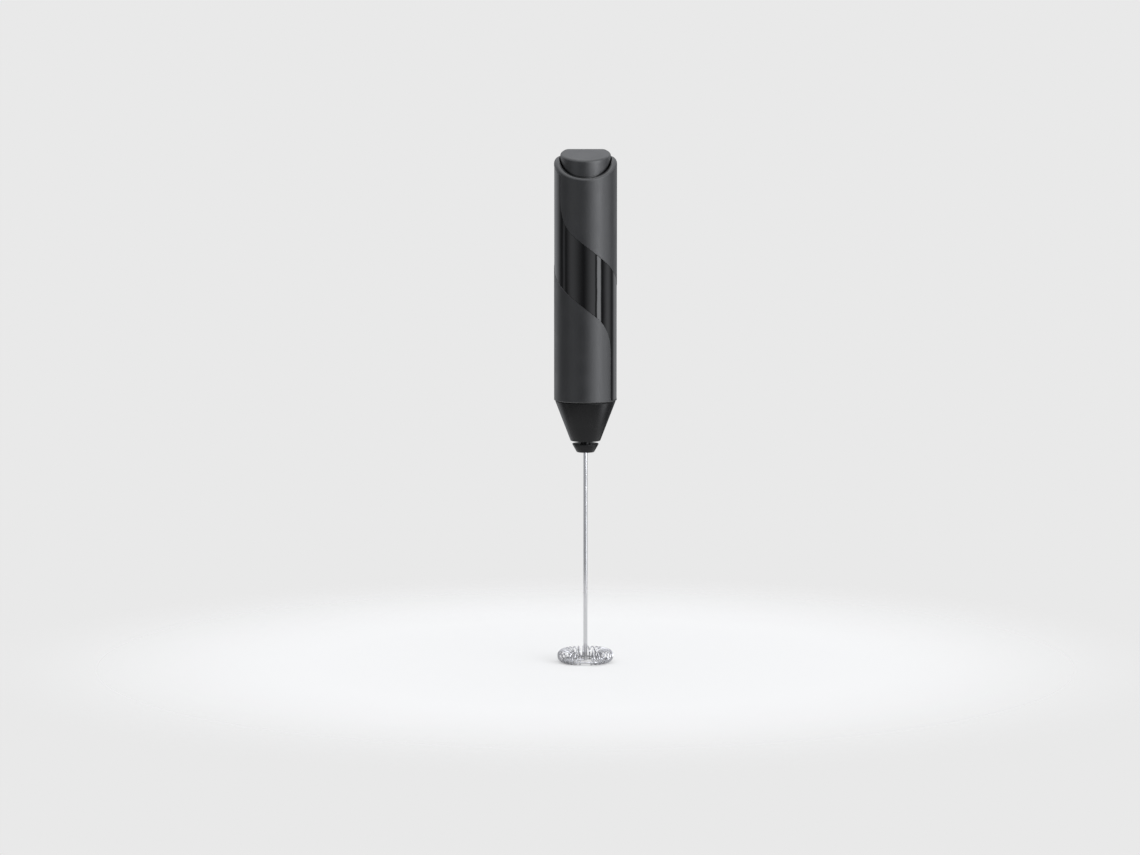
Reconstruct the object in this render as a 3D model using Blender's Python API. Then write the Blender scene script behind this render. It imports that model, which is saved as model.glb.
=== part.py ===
"""Hand-held battery milk frother: a barrel with a push button in its slanted top, a nose cone, and a
steel shaft that turns a coiled whisk.

Metres, +Z up. The barrel's axis is Z, the front of the slanted top faces -Y, and the origin is on the
axis at the whisk's lowest point. Every moving piece turns about Z or slides along it.
"""

import math

import bmesh
import bpy
from mathutils import Vector

MM = 0.001

# ---- Bought-in parts, which set the size of the handle ----
CELL_R = 5.25 * MM
CELL_LENGTH = 44.5 * MM
CELL_NUB_R = 1.9 * MM
CELL_NUB_HEIGHT = 1.0 * MM
MOTOR_R = 10.0 * MM
MOTOR_HALF_FLAT = 7.5 * MM
CAN_LENGTH = 23.0 * MM
MOTOR_SHAFT_R = 1.0 * MM

# ---- Clearances ----
FIT = 0.05 * MM
SEAT = 0.1 * MM
GAP = 0.3 * MM

# ---- Walls ----
BARREL_WALL = 1.8 * MM
FRAME_RAIL = 0.85 * MM
SPIGOT_WALL = 1.3 * MM
NOSE_FLOOR = 2.0 * MM
BULKHEAD = 1.6 * MM
CAN_WALL = 0.8 * MM
CONTACT_THICK = 0.3 * MM

# ---- Radii worked out from the cells and the motor ----
CELL_X = CELL_R + 2 * SEAT
POCKET_R = CELL_R + 1.5 * SEAT
FRAME_LOW_R = MOTOR_R + GAP
SPIGOT_BORE_R = FRAME_LOW_R + GAP
SPIGOT_R = SPIGOT_BORE_R + SPIGOT_WALL
FRAME_R = max(CELL_X + POCKET_R + FRAME_RAIL, SPIGOT_R - 2 * SEAT)
BORE_R = max(FRAME_R + 5 * SEAT, SPIGOT_R + GAP)
BARREL_R = BORE_R + BARREL_WALL

# ---- Whisk and spindle ----
WHISK_RING_R = 9.75 * MM
WHISK_TUBE_R = 2.9 * MM
COIL_WIRE_R = 0.3 * MM
COIL_TURNS = 28
COIL_OPENING = 5.0 * MM
HOOP_WIRE_R = 0.4 * MM
HOOP_Z = 2 * COIL_WIRE_R + HOOP_WIRE_R + 1.5 * SEAT
LEG_TURN = 24.5
SHAFT_R = 0.9 * MM
SHAFT_FOOT_Z = HOOP_Z - HOOP_WIRE_R
COLLAR_Z = 94.9 * MM
COLLAR_HEIGHT = 3.9 * MM
COLLAR_R = 5.85 * MM
COLLAR_FOOT_R = 3.85 * MM
COLLAR_RIM = 0.4 * MM
COLLAR_EDGE = 0.45 * MM
NECK_R = 2.5 * MM
SHAFT_GRIP = 8.0 * MM
MOTOR_SHAFT_GRIP = 3.7 * MM
HUB_WEB = 1.6 * MM

# ---- Nose ----
NOSE_Z = COLLAR_Z + COLLAR_HEIGHT + 1.2 * MM
NOSE_HEIGHT = 17.9 * MM
NOSE_FOOT_R = 6.6 * MM
NOSE_EDGE = 0.45 * MM
NOSE_TOP_Z = NOSE_Z + NOSE_HEIGHT
NOSE_TOP_R = BARREL_R - 0.5 * MM
MOTOR_SEAT_Z = NOSE_TOP_Z - 0.9 * MM
SPIGOT_TOP_Z = MOTOR_SEAT_Z + 9.0 * MM
SEAL_WIRE_R = 0.45 * MM
SEAL_Z = MOTOR_SEAT_Z + 3.0 * MM
SEAL_GROOVE_R = BORE_R - 2 * SEAL_WIRE_R - 1.5 * SEAT
NOSE_SCREW_Z = MOTOR_SEAT_Z + 6.6 * MM
SHAFT_SEAL_R = 4.6 * MM
SHAFT_SEAL_HEIGHT = 2.0 * MM

# ---- Motor, from its front plate upwards ----
FRAME_Z = MOTOR_SEAT_Z - 1.8 * MM
CAN_Z = MOTOR_SEAT_Z + 2 * SEAT
CAN_TOP_Z = CAN_Z + CAN_LENGTH
CAN_FRONT = 1.0 * MM
BOSS_R = 3.05 * MM
BOSS_HEIGHT = 1.6 * MM
BUSH_R = 2.0 * MM
BUSH_BORE_R = MOTOR_SHAFT_R + FIT
ENDBELL_HEIGHT = 2.0 * MM
ENDBELL_BOSS_R = 3.2 * MM
ENDBELL_TOP_Z = CAN_TOP_Z + SEAT + ENDBELL_HEIGHT
ENDBELL_BOSS_TOP_Z = ENDBELL_TOP_Z + 1.2 * MM
MAGNET_HALF_ANGLE = math.radians(44)
BRUSH_HEIGHT = 3.5 * MM
BRUSH_HALF_WIDTH = 1.2 * MM
ARMATURE_R = MOTOR_HALF_FLAT - CAN_WALL - 4 * SEAT
MAGNET_BORE_R = ARMATURE_R + 2 * GAP
ARMATURE_Z = CAN_Z + 4.0 * MM
ARMATURE_TOP_Z = CAN_TOP_Z - 5.5 * MM
COMMUTATOR_R = 2.4 * MM
TERMINAL_X = 6.0 * MM
TERMINAL_TOP_Z = ENDBELL_TOP_Z + 2.5 * MM
TERMINAL_HALF_THICK = 0.2 * MM
TERMINAL_HALF_WIDTH = 1.2 * MM
MOTOR_SCREW_X = 5.0 * MM
SCREW_R = 0.8 * MM
SCREW_HEAD_R = 1.9 * MM
SCREW_HEAD = 1.1 * MM

# ---- Battery bay, from the bulkhead over the motor upwards ----
MOTOR_BAY_TOP_Z = TERMINAL_TOP_Z + 5 * SEAT
CELL_BAY_Z = MOTOR_BAY_TOP_Z + BULKHEAD
SPRING_ROOM = 4.6 * MM
BRIDGE_Z = CELL_BAY_Z + SEAT
CELL_RIGHT_Z = BRIDGE_Z + CONTACT_THICK + SEAT
CELL_LEFT_Z = CELL_RIGHT_Z + SPRING_ROOM
CELL_LEFT_TOP_Z = CELL_LEFT_Z + CELL_LENGTH
CELL_RIGHT_TOP_Z = CELL_RIGHT_Z + CELL_LENGTH
UPPER_CONTACT_Z = CELL_LEFT_TOP_Z + SEAT
CELL_BAY_TOP_Z = UPPER_CONTACT_Z + CONTACT_THICK + SEAT
FRAME_TOP_Z = CELL_BAY_TOP_Z + 2.1 * MM
OPEN_FRONT_Y = -1.5 * MM
WEB_Y = 2.2 * MM
WEB_HALF = 1.6 * MM
BRIDGE_HALF_Y = WEB_Y - 2 * SEAT
CONTACT_HALF = 3.7 * MM
TAB_HALF_WIDTH = 1.2 * MM
TAB_Y = CONTACT_HALF - CONTACT_THICK
SPRING_WIRE_R = 0.3 * MM
CELL_SPRING_R = 3.4 * MM
CELL_SPRING_TIP_R = 2.2 * MM

# ---- Switch on top of the frame ----
SWITCH_Z = FRAME_TOP_Z + SEAT
SWITCH_HALF_X = 5.0 * MM
SWITCH_HALF_Y = 3.0 * MM
SWITCH_HEIGHT = 6.1 * MM
TRAVEL = 1.5 * MM
PLUNGER_R = 1.8 * MM
PLUNGER_Z = SWITCH_Z + TRAVEL + 1.5 * MM
PLUNGER_TOP_Z = SWITCH_Z + SWITCH_HEIGHT + 3.3 * MM
BLADE_Z = SWITCH_Z + 1.2 * MM
BLADE_THICK = 0.4 * MM
BLADE_REACH = 2.4 * MM
BLADE_HALF_WIDTH = 0.75 * MM
TAB_TOP_Z = BLADE_Z - SEAT

# ---- Leads ----
LEAD_R = 0.55 * MM
LEAD_X = 0.8 * MM
LEAD_Y = FRAME_R - 1.4 * MM
LEAD_GROOVE_Y = LEAD_Y - LEAD_R - GAP

# ---- Button, its guide plate and the rim round it ----
BUTTON_R = 11.2 * MM
MOUTH_R = BUTTON_R + GAP + FIT
STEM_R = 2.35 * MM
STEM_Z = PLUNGER_TOP_Z + GAP
CLIP_THICK = 0.8 * MM
CLIP_R = 4.2 * MM
CLIP_GROOVE_R = 1.6 * MM
CLIP_Z = STEM_Z + 3.0 * MM
GUIDE_Z = CLIP_Z + CLIP_THICK + GAP
GUIDE_THICK = 2.0 * MM
GUIDE_TOP_Z = GUIDE_Z + GUIDE_THICK
LEDGE_TOP_Z = GUIDE_Z - SEAT
LEDGE_HEIGHT = 1.5 * MM
LEDGE_R = MOUTH_R - 0.9 * MM
SKIRT_Z = GUIDE_TOP_Z + TRAVEL + 0.5 * MM
CREST_Z = GUIDE_TOP_Z + 15.0 * MM
CREST_Y = 7.0 * MM
THUMB_SLOPE = 0.235
BACK_SLOPE = 0.3
CREST_BLEND = 1.2 * MM
BUTTON_EDGE = 1.0 * MM
BUTTON_WALL = 1.4 * MM
BUTTON_FOOT_R = BUTTON_R - 0.6 * MM
BUTTON_STEP = 3.5 * MM
SHADOW_LINE = 0.9 * MM
SPRING_SEAT_R = 4.6 * MM
SPRING_SEAT_Z = GUIDE_TOP_Z + 6.5 * MM
BUTTON_SPRING_R = 3.6 * MM

# ---- Barrel ----
BARREL_Z = NOSE_TOP_Z + GAP
BARREL_CHAMFER = 0.35 * MM
RIM_Z = GUIDE_TOP_Z + 11.4 * MM
RIM_LIP = 2.2 * MM
RIM_LIP_WIDTH = BARREL_R - MOUTH_R - 0.15 * MM
RIM_DIP_INNER = 8.7 * MM
RIM_DIP_OUTER = 7.6 * MM
RIM_RISE = 1.5 * MM
RIM_BLEND = 0.3

# ---- Glossy band let into the barrel ----
BAND_WIDTH = 22.0 * MM
BAND_TURN = math.radians(52.4)
BAND_INNER_BEND_R = 20.0 * MM
BAND_EDGE_ANGLE = math.radians(53.3)
BAND_RISE = 55.8 * MM
BAND_THICK = 0.5 * MM
BAND_PROUD = -0.12 * MM
BAND_GAP = 0.12 * MM
BAND_END = 0.9 * MM
BAND_FOOT = 0.4 * MM

# ---- Facets ----
BARREL_STEPS = 36
ROUND_STEPS = 24
SMALL_STEPS = 16
SHAFT_STEPS = 20

MATERIALS = {
    # name: (base colour, roughness, metallic)
    "soft_touch": ((0.045, 0.045, 0.047, 1), 0.55, 0.0),
    "piano_black": ((0.010, 0.010, 0.011, 1), 0.08, 0.0),
    "nose_plastic": ((0.020, 0.020, 0.021, 1), 0.32, 0.0),
    "frame_plastic": ((0.60, 0.60, 0.58, 1), 0.45, 0.0),
    "endbell_plastic": ((0.75, 0.74, 0.70, 1), 0.40, 0.0),
    "switch_plastic": ((0.02, 0.02, 0.02, 1), 0.50, 0.0),
    "rubber": ((0.02, 0.02, 0.02, 1), 0.70, 0.0),
    "stainless": ((0.62, 0.62, 0.63, 1), 0.18, 1.0),
    "zinc_steel": ((0.55, 0.56, 0.58, 1), 0.35, 1.0),
    "nickel": ((0.66, 0.64, 0.60, 1), 0.25, 1.0),
    "bronze": ((0.45, 0.30, 0.16, 1), 0.45, 1.0),
    "copper": ((0.72, 0.35, 0.20, 1), 0.35, 1.0),
    "ferrite": ((0.03, 0.03, 0.035, 1), 0.60, 0.0),
    "cell_sleeve": ((0.10, 0.22, 0.12, 1), 0.35, 0.0),
    "lead_red": ((0.50, 0.02, 0.02, 1), 0.45, 0.0),
    "lead_black": ((0.02, 0.02, 0.02, 1), 0.45, 0.0),
}


# ---------------------------------------------------------------- helpers


def clear_scene():
    """Removes whatever the file opened with."""
    for obj in list(bpy.data.objects):
        bpy.data.objects.remove(obj, do_unlink=True)


def material(name):
    """The named material, made the first time that it is asked for."""
    found = bpy.data.materials.get(name)
    if found:
        return found
    colour, roughness, metallic = MATERIALS[name]
    made = bpy.data.materials.new(name)
    made.use_nodes = True
    shader = made.node_tree.nodes["Principled BSDF"]
    shader.inputs["Base Color"].default_value = colour
    shader.inputs["Roughness"].default_value = roughness
    shader.inputs["Metallic"].default_value = metallic
    made.diffuse_color = colour
    return made


def body(name):
    """An empty on the Z axis that carries the pieces of one moving body."""
    empty = bpy.data.objects.new(name, None)
    bpy.context.scene.collection.objects.link(empty)
    return empty


def finish(name, bm, finish_name, parent=None):
    """Turns a bmesh into a named object with outward faces and smooth shading on its rounds."""
    bmesh.ops.recalc_face_normals(bm, faces=bm.faces[:])
    if bm.calc_volume(signed=True) < 0:
        bmesh.ops.reverse_faces(bm, faces=bm.faces[:])
    mesh = bpy.data.meshes.new(name)
    bm.to_mesh(mesh)
    bm.free()
    mesh.shade_smooth()
    mesh.set_sharp_from_angle(angle=math.radians(35))
    mesh.materials.append(material(finish_name))
    obj = bpy.data.objects.new(name, mesh)
    bpy.context.scene.collection.objects.link(obj)
    obj.parent = parent
    return obj


def spin_outline(outline, steps):
    """A bmesh of the closed outline of (radius, height) points, spun once about Z."""
    bm = bmesh.new()
    verts = [bm.verts.new((r, 0, z)) for r, z in outline]
    edges = []
    for first, second in zip(verts, verts[1:] + verts[:1]):
        if first.co.x > 0 or second.co.x > 0:
            edges.append(bm.edges.new((first, second)))
    bmesh.ops.spin(
        bm,
        geom=verts + edges,
        cent=(0, 0, 0),
        axis=(0, 0, 1),
        angle=math.tau,
        steps=steps,
        use_merge=True,
    )
    bmesh.ops.remove_doubles(bm, verts=bm.verts[:], dist=1e-7)
    return bm


def turned(name, outline, finish_name, parent=None, steps=ROUND_STEPS):
    """A turned piece on the Z axis."""
    return finish(name, spin_outline(outline, steps), finish_name, parent)


def rod(name, radius, low, high, finish_name, parent=None, at=(0, 0), steps=SMALL_STEPS):
    """An upright cylinder from height low to height high."""
    bm = spin_outline([(0, low), (radius, low), (radius, high), (0, high)], steps)
    bmesh.ops.translate(bm, verts=bm.verts[:], vec=(at[0], at[1], 0))
    return finish(name, bm, finish_name, parent)


def block(name, low, high, finish_name, parent=None):
    """A box between two corners."""
    bm = bmesh.new()
    bmesh.ops.create_cube(bm, size=1.0)
    low, high = Vector(low), Vector(high)
    bmesh.ops.scale(bm, verts=bm.verts[:], vec=high - low)
    bmesh.ops.translate(bm, verts=bm.verts[:], vec=(low + high) / 2)
    return finish(name, bm, finish_name, parent)


def combine(target, other, operation):
    """Adds a Boolean of a helper shape that isn't a piece itself."""
    other.hide_render = True
    other.display_type = "WIRE"
    other.parent = target.parent
    modifier = target.modifiers.new(other.name, "BOOLEAN")
    modifier.operation = operation
    modifier.object = other
    modifier.solver = "EXACT"


def cut(target, cutter):
    combine(target, cutter, "DIFFERENCE")


def join(target, other):
    combine(target, other, "UNION")


def keep(target, other):
    combine(target, other, "INTERSECT")


def swept_wire(name, path, radius, sides, finish_name, parent=None, closed=False):
    """A round wire along a list of points, with flat ends unless it closes on itself."""
    count = len(path)
    bm = bmesh.new()
    rings = []
    normal = None
    for i, point in enumerate(path):
        before = path[i - 1] if i or closed else path[0]
        after = path[(i + 1) % count] if i + 1 < count or closed else path[-1]
        along = (after - before).normalized()
        if normal is None:
            normal = along.orthogonal().normalized()
        normal = (normal - normal.dot(along) * along).normalized()
        across = along.cross(normal)
        ring = []
        for k in range(sides):
            turn = math.tau * k / sides
            ring.append(bm.verts.new(point + radius * (math.cos(turn) * normal + math.sin(turn) * across)))
        rings.append(ring)
    pairs = list(zip(rings, rings[1:]))
    if closed:
        last, first = rings[-1], rings[0]
        nearest = min(range(sides), key=lambda k: (first[k].co - last[0].co).length)
        pairs.append((last, first[nearest:] + first[:nearest]))
    for one, two in pairs:
        for k in range(sides):
            bm.faces.new((one[k], one[(k + 1) % sides], two[(k + 1) % sides], two[k]))
    if not closed:
        bm.faces.new(rings[0])
        bm.faces.new(rings[-1])
    return finish(name, bm, finish_name, parent)


def helix(low, high, low_r, high_r, turns, steps, centre):
    """Points of a spring that climbs from low to high while its radius goes from low_r to high_r."""
    points = []
    for i in range(turns * steps + 1):
        t = i / (turns * steps)
        turn = math.tau * turns * t
        radius = low_r + (high_r - low_r) * t
        x = centre[0] + radius * math.cos(turn)
        y = centre[1] + radius * math.sin(turn)
        points.append(Vector((x, y, low + (high - low) * t)))
    return points


def smooth_route(points, per_span=5):
    """Points of a smooth curve through a few chosen points (Catmull-Rom)."""
    ends = [2 * points[0] - points[1]] + points + [2 * points[-1] - points[-2]]
    route = []
    for i in range(1, len(ends) - 2):
        a, b, c, d = ends[i - 1 : i + 3]
        for k in range(per_span):
            t = k / per_span
            route.append(
                0.5
                * (
                    2 * b
                    + (c - a) * t
                    + (2 * a - 5 * b + 4 * c - d) * t**2
                    + (3 * b - a - 3 * c + d) * t**3
                )
            )
    route.append(points[-1])
    return route


# ---------------------------------------------------------------- barrel and band


def dip(sine):
    """How much of the rim's full dip applies at an angle with this sine: -1 at the front, 0 behind the sides."""
    if sine < -RIM_BLEND:
        return sine
    if sine > RIM_BLEND:
        return 0.0
    return -((sine - RIM_BLEND) ** 2) / (4 * RIM_BLEND)


def rim_drop(radius, sine):
    """How far the rim lies below its height at the sides, at a radius within the barrel's wall."""
    share = (radius - MOUTH_R) / (BARREL_R - MOUTH_R)
    depth = RIM_DIP_INNER + share * (RIM_DIP_OUTER - RIM_DIP_INNER)
    return -dip(sine) * depth - max(sine, 0) * RIM_RISE


def rim_outline():
    """The lip's (radius, height) points at the sides, from the outer wall over to the mouth."""
    points = []
    for i in range(5):
        turn = math.pi / 2 * i / 4
        radius = BARREL_R - RIM_LIP_WIDTH * (1 - math.cos(turn))
        points.append((radius, RIM_Z - RIM_LIP * (1 - math.sin(turn))))
    points.append((MOUTH_R, RIM_Z - GAP))
    return points


def barrel_blank():
    """The barrel before the band's recess is cut: a tube with a ledge inside and a dipping rim."""
    outline = [
        (BORE_R, BARREL_Z),
        (BARREL_R - BARREL_CHAMFER, BARREL_Z),
        (BARREL_R, BARREL_Z + BARREL_CHAMFER),
    ]
    outline += rim_outline()
    outline += [
        (MOUTH_R, LEDGE_TOP_Z),
        (LEDGE_R, LEDGE_TOP_Z),
        (LEDGE_R, LEDGE_TOP_Z - LEDGE_HEIGHT),
        (BORE_R, LEDGE_TOP_Z - LEDGE_HEIGHT - (BORE_R - LEDGE_R) / 2),
    ]
    bm = spin_outline(outline, BARREL_STEPS)
    for vert in bm.verts:
        if vert.co.z > LEDGE_TOP_Z + RIM_LIP:
            radius = math.hypot(vert.co.x, vert.co.y)
            vert.co.z -= rim_drop(radius, vert.co.y / radius)
    return bm


def arc(centre, radius, start, end, steps):
    """Points of an arc in the flat plane, from angle start to angle end."""
    points = []
    for i in range(steps + 1):
        turn = start + (end - start) * i / steps
        points.append((centre[0] + radius * math.cos(turn), centre[1] + radius * math.sin(turn)))
    return points


def band_outline(grow):
    """The S-shaped band laid flat as (distance round the barrel from the front, height), grown by a gap.

    A strip of one width comes down the left side, crosses the front and goes on down the right side.
    The two halves are the same shape turned half a turn about the middle of the front.
    """
    middle_z = BARREL_Z + BAND_RISE
    inner_edge = BARREL_R * BAND_EDGE_ANGLE
    outer_edge = inner_edge + BAND_WIDTH
    inner_bend = BAND_INNER_BEND_R - grow
    outer_bend = BAND_INNER_BEND_R + BAND_WIDTH + grow
    climb = math.tan(math.pi / 2 - BAND_TURN)
    half_height = BAND_WIDTH / 2 / math.sin(BAND_TURN)
    bend_x = -inner_edge + BAND_INNER_BEND_R
    bend_z = half_height + climb * inner_edge + BAND_INNER_BEND_R * math.tan(BAND_TURN / 2)
    foot = arc((bend_x, bend_z), inner_bend, math.pi, math.pi + BAND_TURN, 6)
    heel = arc((bend_x, bend_z), outer_bend, math.pi + BAND_TURN, math.pi, 8)
    top = []
    for x in (-outer_edge - grow, -(inner_edge + outer_edge) / 2, -inner_edge + grow):
        angle = x / BARREL_R - math.pi / 2
        edge = RIM_Z - RIM_LIP - rim_drop(BARREL_R, math.sin(angle)) - BAND_END + grow
        top.append((x, edge - middle_z))
    bottom = BARREL_Z + BARREL_CHAMFER + BAND_FOOT - grow - middle_z
    turned_foot = [(-x, -z) for x, z in foot]
    turned_heel = [(-x, -z) for x, z in heel]
    outline = top + foot + turned_heel
    outline += [(outer_edge + grow, bottom), (inner_edge - grow, bottom)]
    outline += turned_foot + heel
    return [(x, middle_z + z) for x, z in outline]


def wrapped(name, outline, inner_r, outer_r, finish_name, parent=None):
    """A flat outline wrapped on the barrel's facets, from one radius out to another."""
    bm = bmesh.new()
    bm.faces.new([bm.verts.new((x / BARREL_R, 0, z)) for x, z in outline])
    facet = math.tau / BARREL_STEPS
    for k in range(-BARREL_STEPS // 2, BARREL_STEPS // 2):
        parts = bm.verts[:] + bm.edges[:] + bm.faces[:]
        bmesh.ops.bisect_plane(bm, geom=parts, dist=1e-9, plane_co=(k * facet, 0, 0), plane_no=(1, 0, 0))
    outside = bm.faces[:]
    grown = bmesh.ops.extrude_face_region(bm, geom=outside, use_keep_orig=True)
    raised = {item for item in grown["geom"] if isinstance(item, bmesh.types.BMVert)}
    for vert in bm.verts:
        radius = outer_r if vert in raised else inner_r
        step = math.floor(vert.co.x / facet + 1e-6)
        share = vert.co.x / facet - step
        low, high = step * facet - math.pi / 2, (step + 1) * facet - math.pi / 2
        flat = Vector((math.cos(low), math.sin(low))).lerp(Vector((math.cos(high), math.sin(high))), share)
        vert.co = (radius * flat.x, radius * flat.y, vert.co.z)
    return finish(name, bm, finish_name, parent)


def make_barrel(grip):
    shell = finish("barrel_shell", barrel_blank(), "soft_touch", grip)
    face_r = BARREL_R + BAND_PROUD
    floor_r = face_r - BAND_THICK - SEAT
    recess = wrapped("band_recess", band_outline(BAND_GAP), floor_r, BARREL_R + 1 * MM, "soft_touch")
    cut(shell, recess)
    wrapped("gloss_band", band_outline(0.0), face_r - BAND_THICK, face_r, "piano_black", grip)


# ---------------------------------------------------------------- button


def crown(x, y):
    """Height of the button's top: a flat slope for the thumb that rolls over to the back at its crest."""
    along = y - CREST_Y
    if along < -CREST_BLEND:
        return CREST_Z + THUMB_SLOPE * along
    if along > CREST_BLEND:
        return CREST_Z - BACK_SLOPE * along
    share = (along + CREST_BLEND) / (2 * CREST_BLEND)
    slope = THUMB_SLOPE - (THUMB_SLOPE + BACK_SLOPE) * share
    start = CREST_Z - THUMB_SLOPE * CREST_BLEND
    return start + (THUMB_SLOPE + slope) / 2 * (along + CREST_BLEND)


def make_button(button):
    """The cap: skirt, rounded edge and thumb slope outside, and a stem with a spring seat inside."""
    inner_r = BUTTON_R - BUTTON_WALL
    flat_r = BUTTON_R - BUTTON_EDGE
    level = CREST_Z
    outline = [(0, level), (flat_r / 2, level)]
    for i in range(4):
        turn = math.pi / 2 * (3 - i) / 3
        radius = flat_r + BUTTON_EDGE * math.cos(turn)
        outline.append((radius, level - BUTTON_EDGE * (1 - math.sin(turn))))
    step_z = level - BUTTON_STEP
    outline += [(BUTTON_R, step_z), (BUTTON_FOOT_R, step_z), (BUTTON_FOOT_R, SKIRT_Z)]
    outline += [(inner_r, SKIRT_Z), (inner_r, level - BUTTON_WALL)]
    outline += [(SPRING_SEAT_R, level - BUTTON_WALL), (SPRING_SEAT_R, SPRING_SEAT_Z), (STEM_R, SPRING_SEAT_Z)]
    outline += [
        (STEM_R, CLIP_Z + CLIP_THICK + SEAT),
        (CLIP_GROOVE_R, CLIP_Z + CLIP_THICK + SEAT),
        (CLIP_GROOVE_R, CLIP_Z - SEAT),
        (STEM_R, CLIP_Z - SEAT),
        (STEM_R, STEM_Z + GAP),
        (STEM_R - GAP, STEM_Z),
        (0, STEM_Z),
    ]
    bm = spin_outline(outline, BARREL_STEPS)
    # The points near the top follow the crown's slope and the step follows the rim, a shadow line above it.
    # The skirt and the stem stay level.
    for vert in bm.verts:
        radius = math.hypot(vert.co.x, vert.co.y)
        if vert.co.z > level - 2 * BUTTON_WALL:
            vert.co.z += crown(vert.co.x, vert.co.y) - level
        elif radius > inner_r + SEAT and vert.co.z > step_z - SEAT:
            over_rim = RIM_Z - rim_drop(MOUTH_R, vert.co.y / radius) + SHADOW_LINE
            under_top = crown(vert.co.x, vert.co.y) - BUTTON_EDGE - GAP
            vert.co.z = min(over_rim, under_top)
    finish("button_cap", bm, "soft_touch", button)


def make_button_clip(button):
    """An open ring that snaps into the stem's groove and stops the button coming out."""
    bore = CLIP_GROOVE_R + FIT
    outline = [(bore, CLIP_Z), (CLIP_R, CLIP_Z), (CLIP_R, CLIP_Z + CLIP_THICK), (bore, CLIP_Z + CLIP_THICK)]
    clip = turned("button_clip", outline, "zinc_steel", button)
    mouth = CLIP_GROOVE_R * 0.8
    low = (-mouth, -2 * CLIP_R, CLIP_Z - GAP)
    cut(clip, block("clip_mouth", low, (mouth, 0, CLIP_Z + CLIP_THICK + GAP), "zinc_steel"))


def make_button_guide(grip):
    """The plate across the barrel that the stem slides in."""
    rim = MOUTH_R - SEAT
    bore = STEM_R + 2 * SEAT
    outline = [(bore, GUIDE_Z), (rim, GUIDE_Z), (rim, GUIDE_TOP_Z), (bore, GUIDE_TOP_Z)]
    turned("button_guide", outline, "frame_plastic", grip, BARREL_STEPS)


def make_button_spring(grip):
    low = GUIDE_TOP_Z + SPRING_WIRE_R + SEAT
    high = SPRING_SEAT_Z - SPRING_WIRE_R - SEAT
    path = helix(low, high, BUTTON_SPRING_R, BUTTON_SPRING_R, 5, 10, (0, 0))
    swept_wire("button_spring", path, SPRING_WIRE_R, 4, "stainless", grip)


# ---------------------------------------------------------------- nose and frame


def cone_r(z):
    """Outer radius of the nose cone at a height."""
    return NOSE_FOOT_R + (NOSE_TOP_R - NOSE_FOOT_R) * (z - NOSE_Z) / NOSE_HEIGHT


def radial_hole(name, radius, near, far, sign, z):
    """A cutter along Y, from |y| = near to |y| = far."""
    bm = spin_outline([(0, near), (radius, near), (radius, far), (0, far)], SMALL_STEPS)
    for vert in bm.verts:
        vert.co = (vert.co.x, sign * vert.co.z, z + vert.co.y)
    return finish(name, bm, "nose_plastic")


def make_nose(chassis):
    """The nose cone, with a floor that the spindle passes through and a spigot that the barrel slips over."""
    cavity_z = NOSE_Z + NOSE_FLOOR
    mouth = NECK_R + GAP
    groove_low = SEAL_Z - SEAL_WIRE_R - SEAT
    groove_high = SEAL_Z + SEAL_WIRE_R + SEAT
    cavity_r = cone_r(cavity_z) - BARREL_WALL
    outline = [
        (mouth, NOSE_Z),
        (NOSE_FOOT_R - NOSE_EDGE, NOSE_Z),
        (cone_r(NOSE_Z + NOSE_EDGE), NOSE_Z + NOSE_EDGE),
        (NOSE_TOP_R, NOSE_TOP_Z),
        (SPIGOT_R, NOSE_TOP_Z),
        (SPIGOT_R, groove_low),
        (SEAL_GROOVE_R, groove_low),
        (SEAL_GROOVE_R, groove_high),
        (SPIGOT_R, groove_high),
        (SPIGOT_R, SPIGOT_TOP_Z),
        (SPIGOT_BORE_R, SPIGOT_TOP_Z),
        (SPIGOT_BORE_R, FRAME_Z - GAP),
        (cavity_r, cavity_z),
        (mouth, cavity_z),
    ]
    nose = turned("nose_cone", outline, "nose_plastic", chassis, BARREL_STEPS)
    for side, sign in (("front", -1), ("back", 1)):
        near = SPIGOT_BORE_R - 1 * MM
        hole = radial_hole("nose_hole_" + side, SCREW_R + 4 * SEAT, near, BARREL_R, sign, NOSE_SCREW_Z)
        cut(nose, hole)
        seat_y = SPIGOT_R - 0.9 * MM
        recess = radial_hole("nose_recess_" + side, SCREW_HEAD_R + SEAT, seat_y, BARREL_R, sign, NOSE_SCREW_Z)
        cut(nose, recess)


def make_nose_screw(chassis, side, sign):
    """A small screw through the spigot into the frame's leg."""
    tip, neck = FRAME_LOW_R - 2.2 * MM, SPIGOT_R - 0.8 * MM
    outline = [(0, tip), (SCREW_R, tip + SCREW_R / 2), (SCREW_R, neck), (SCREW_HEAD_R, neck)]
    outline += [(SCREW_HEAD_R, neck + 0.4 * MM), (SCREW_HEAD_R - GAP, neck + 0.7 * MM), (0, neck + 0.7 * MM)]
    bm = spin_outline(outline, SMALL_STEPS)
    for vert in bm.verts:
        vert.co = (vert.co.x, sign * vert.co.z, NOSE_SCREW_Z + vert.co.y)
    finish("nose_screw_" + side, bm, "zinc_steel", chassis)


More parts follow.
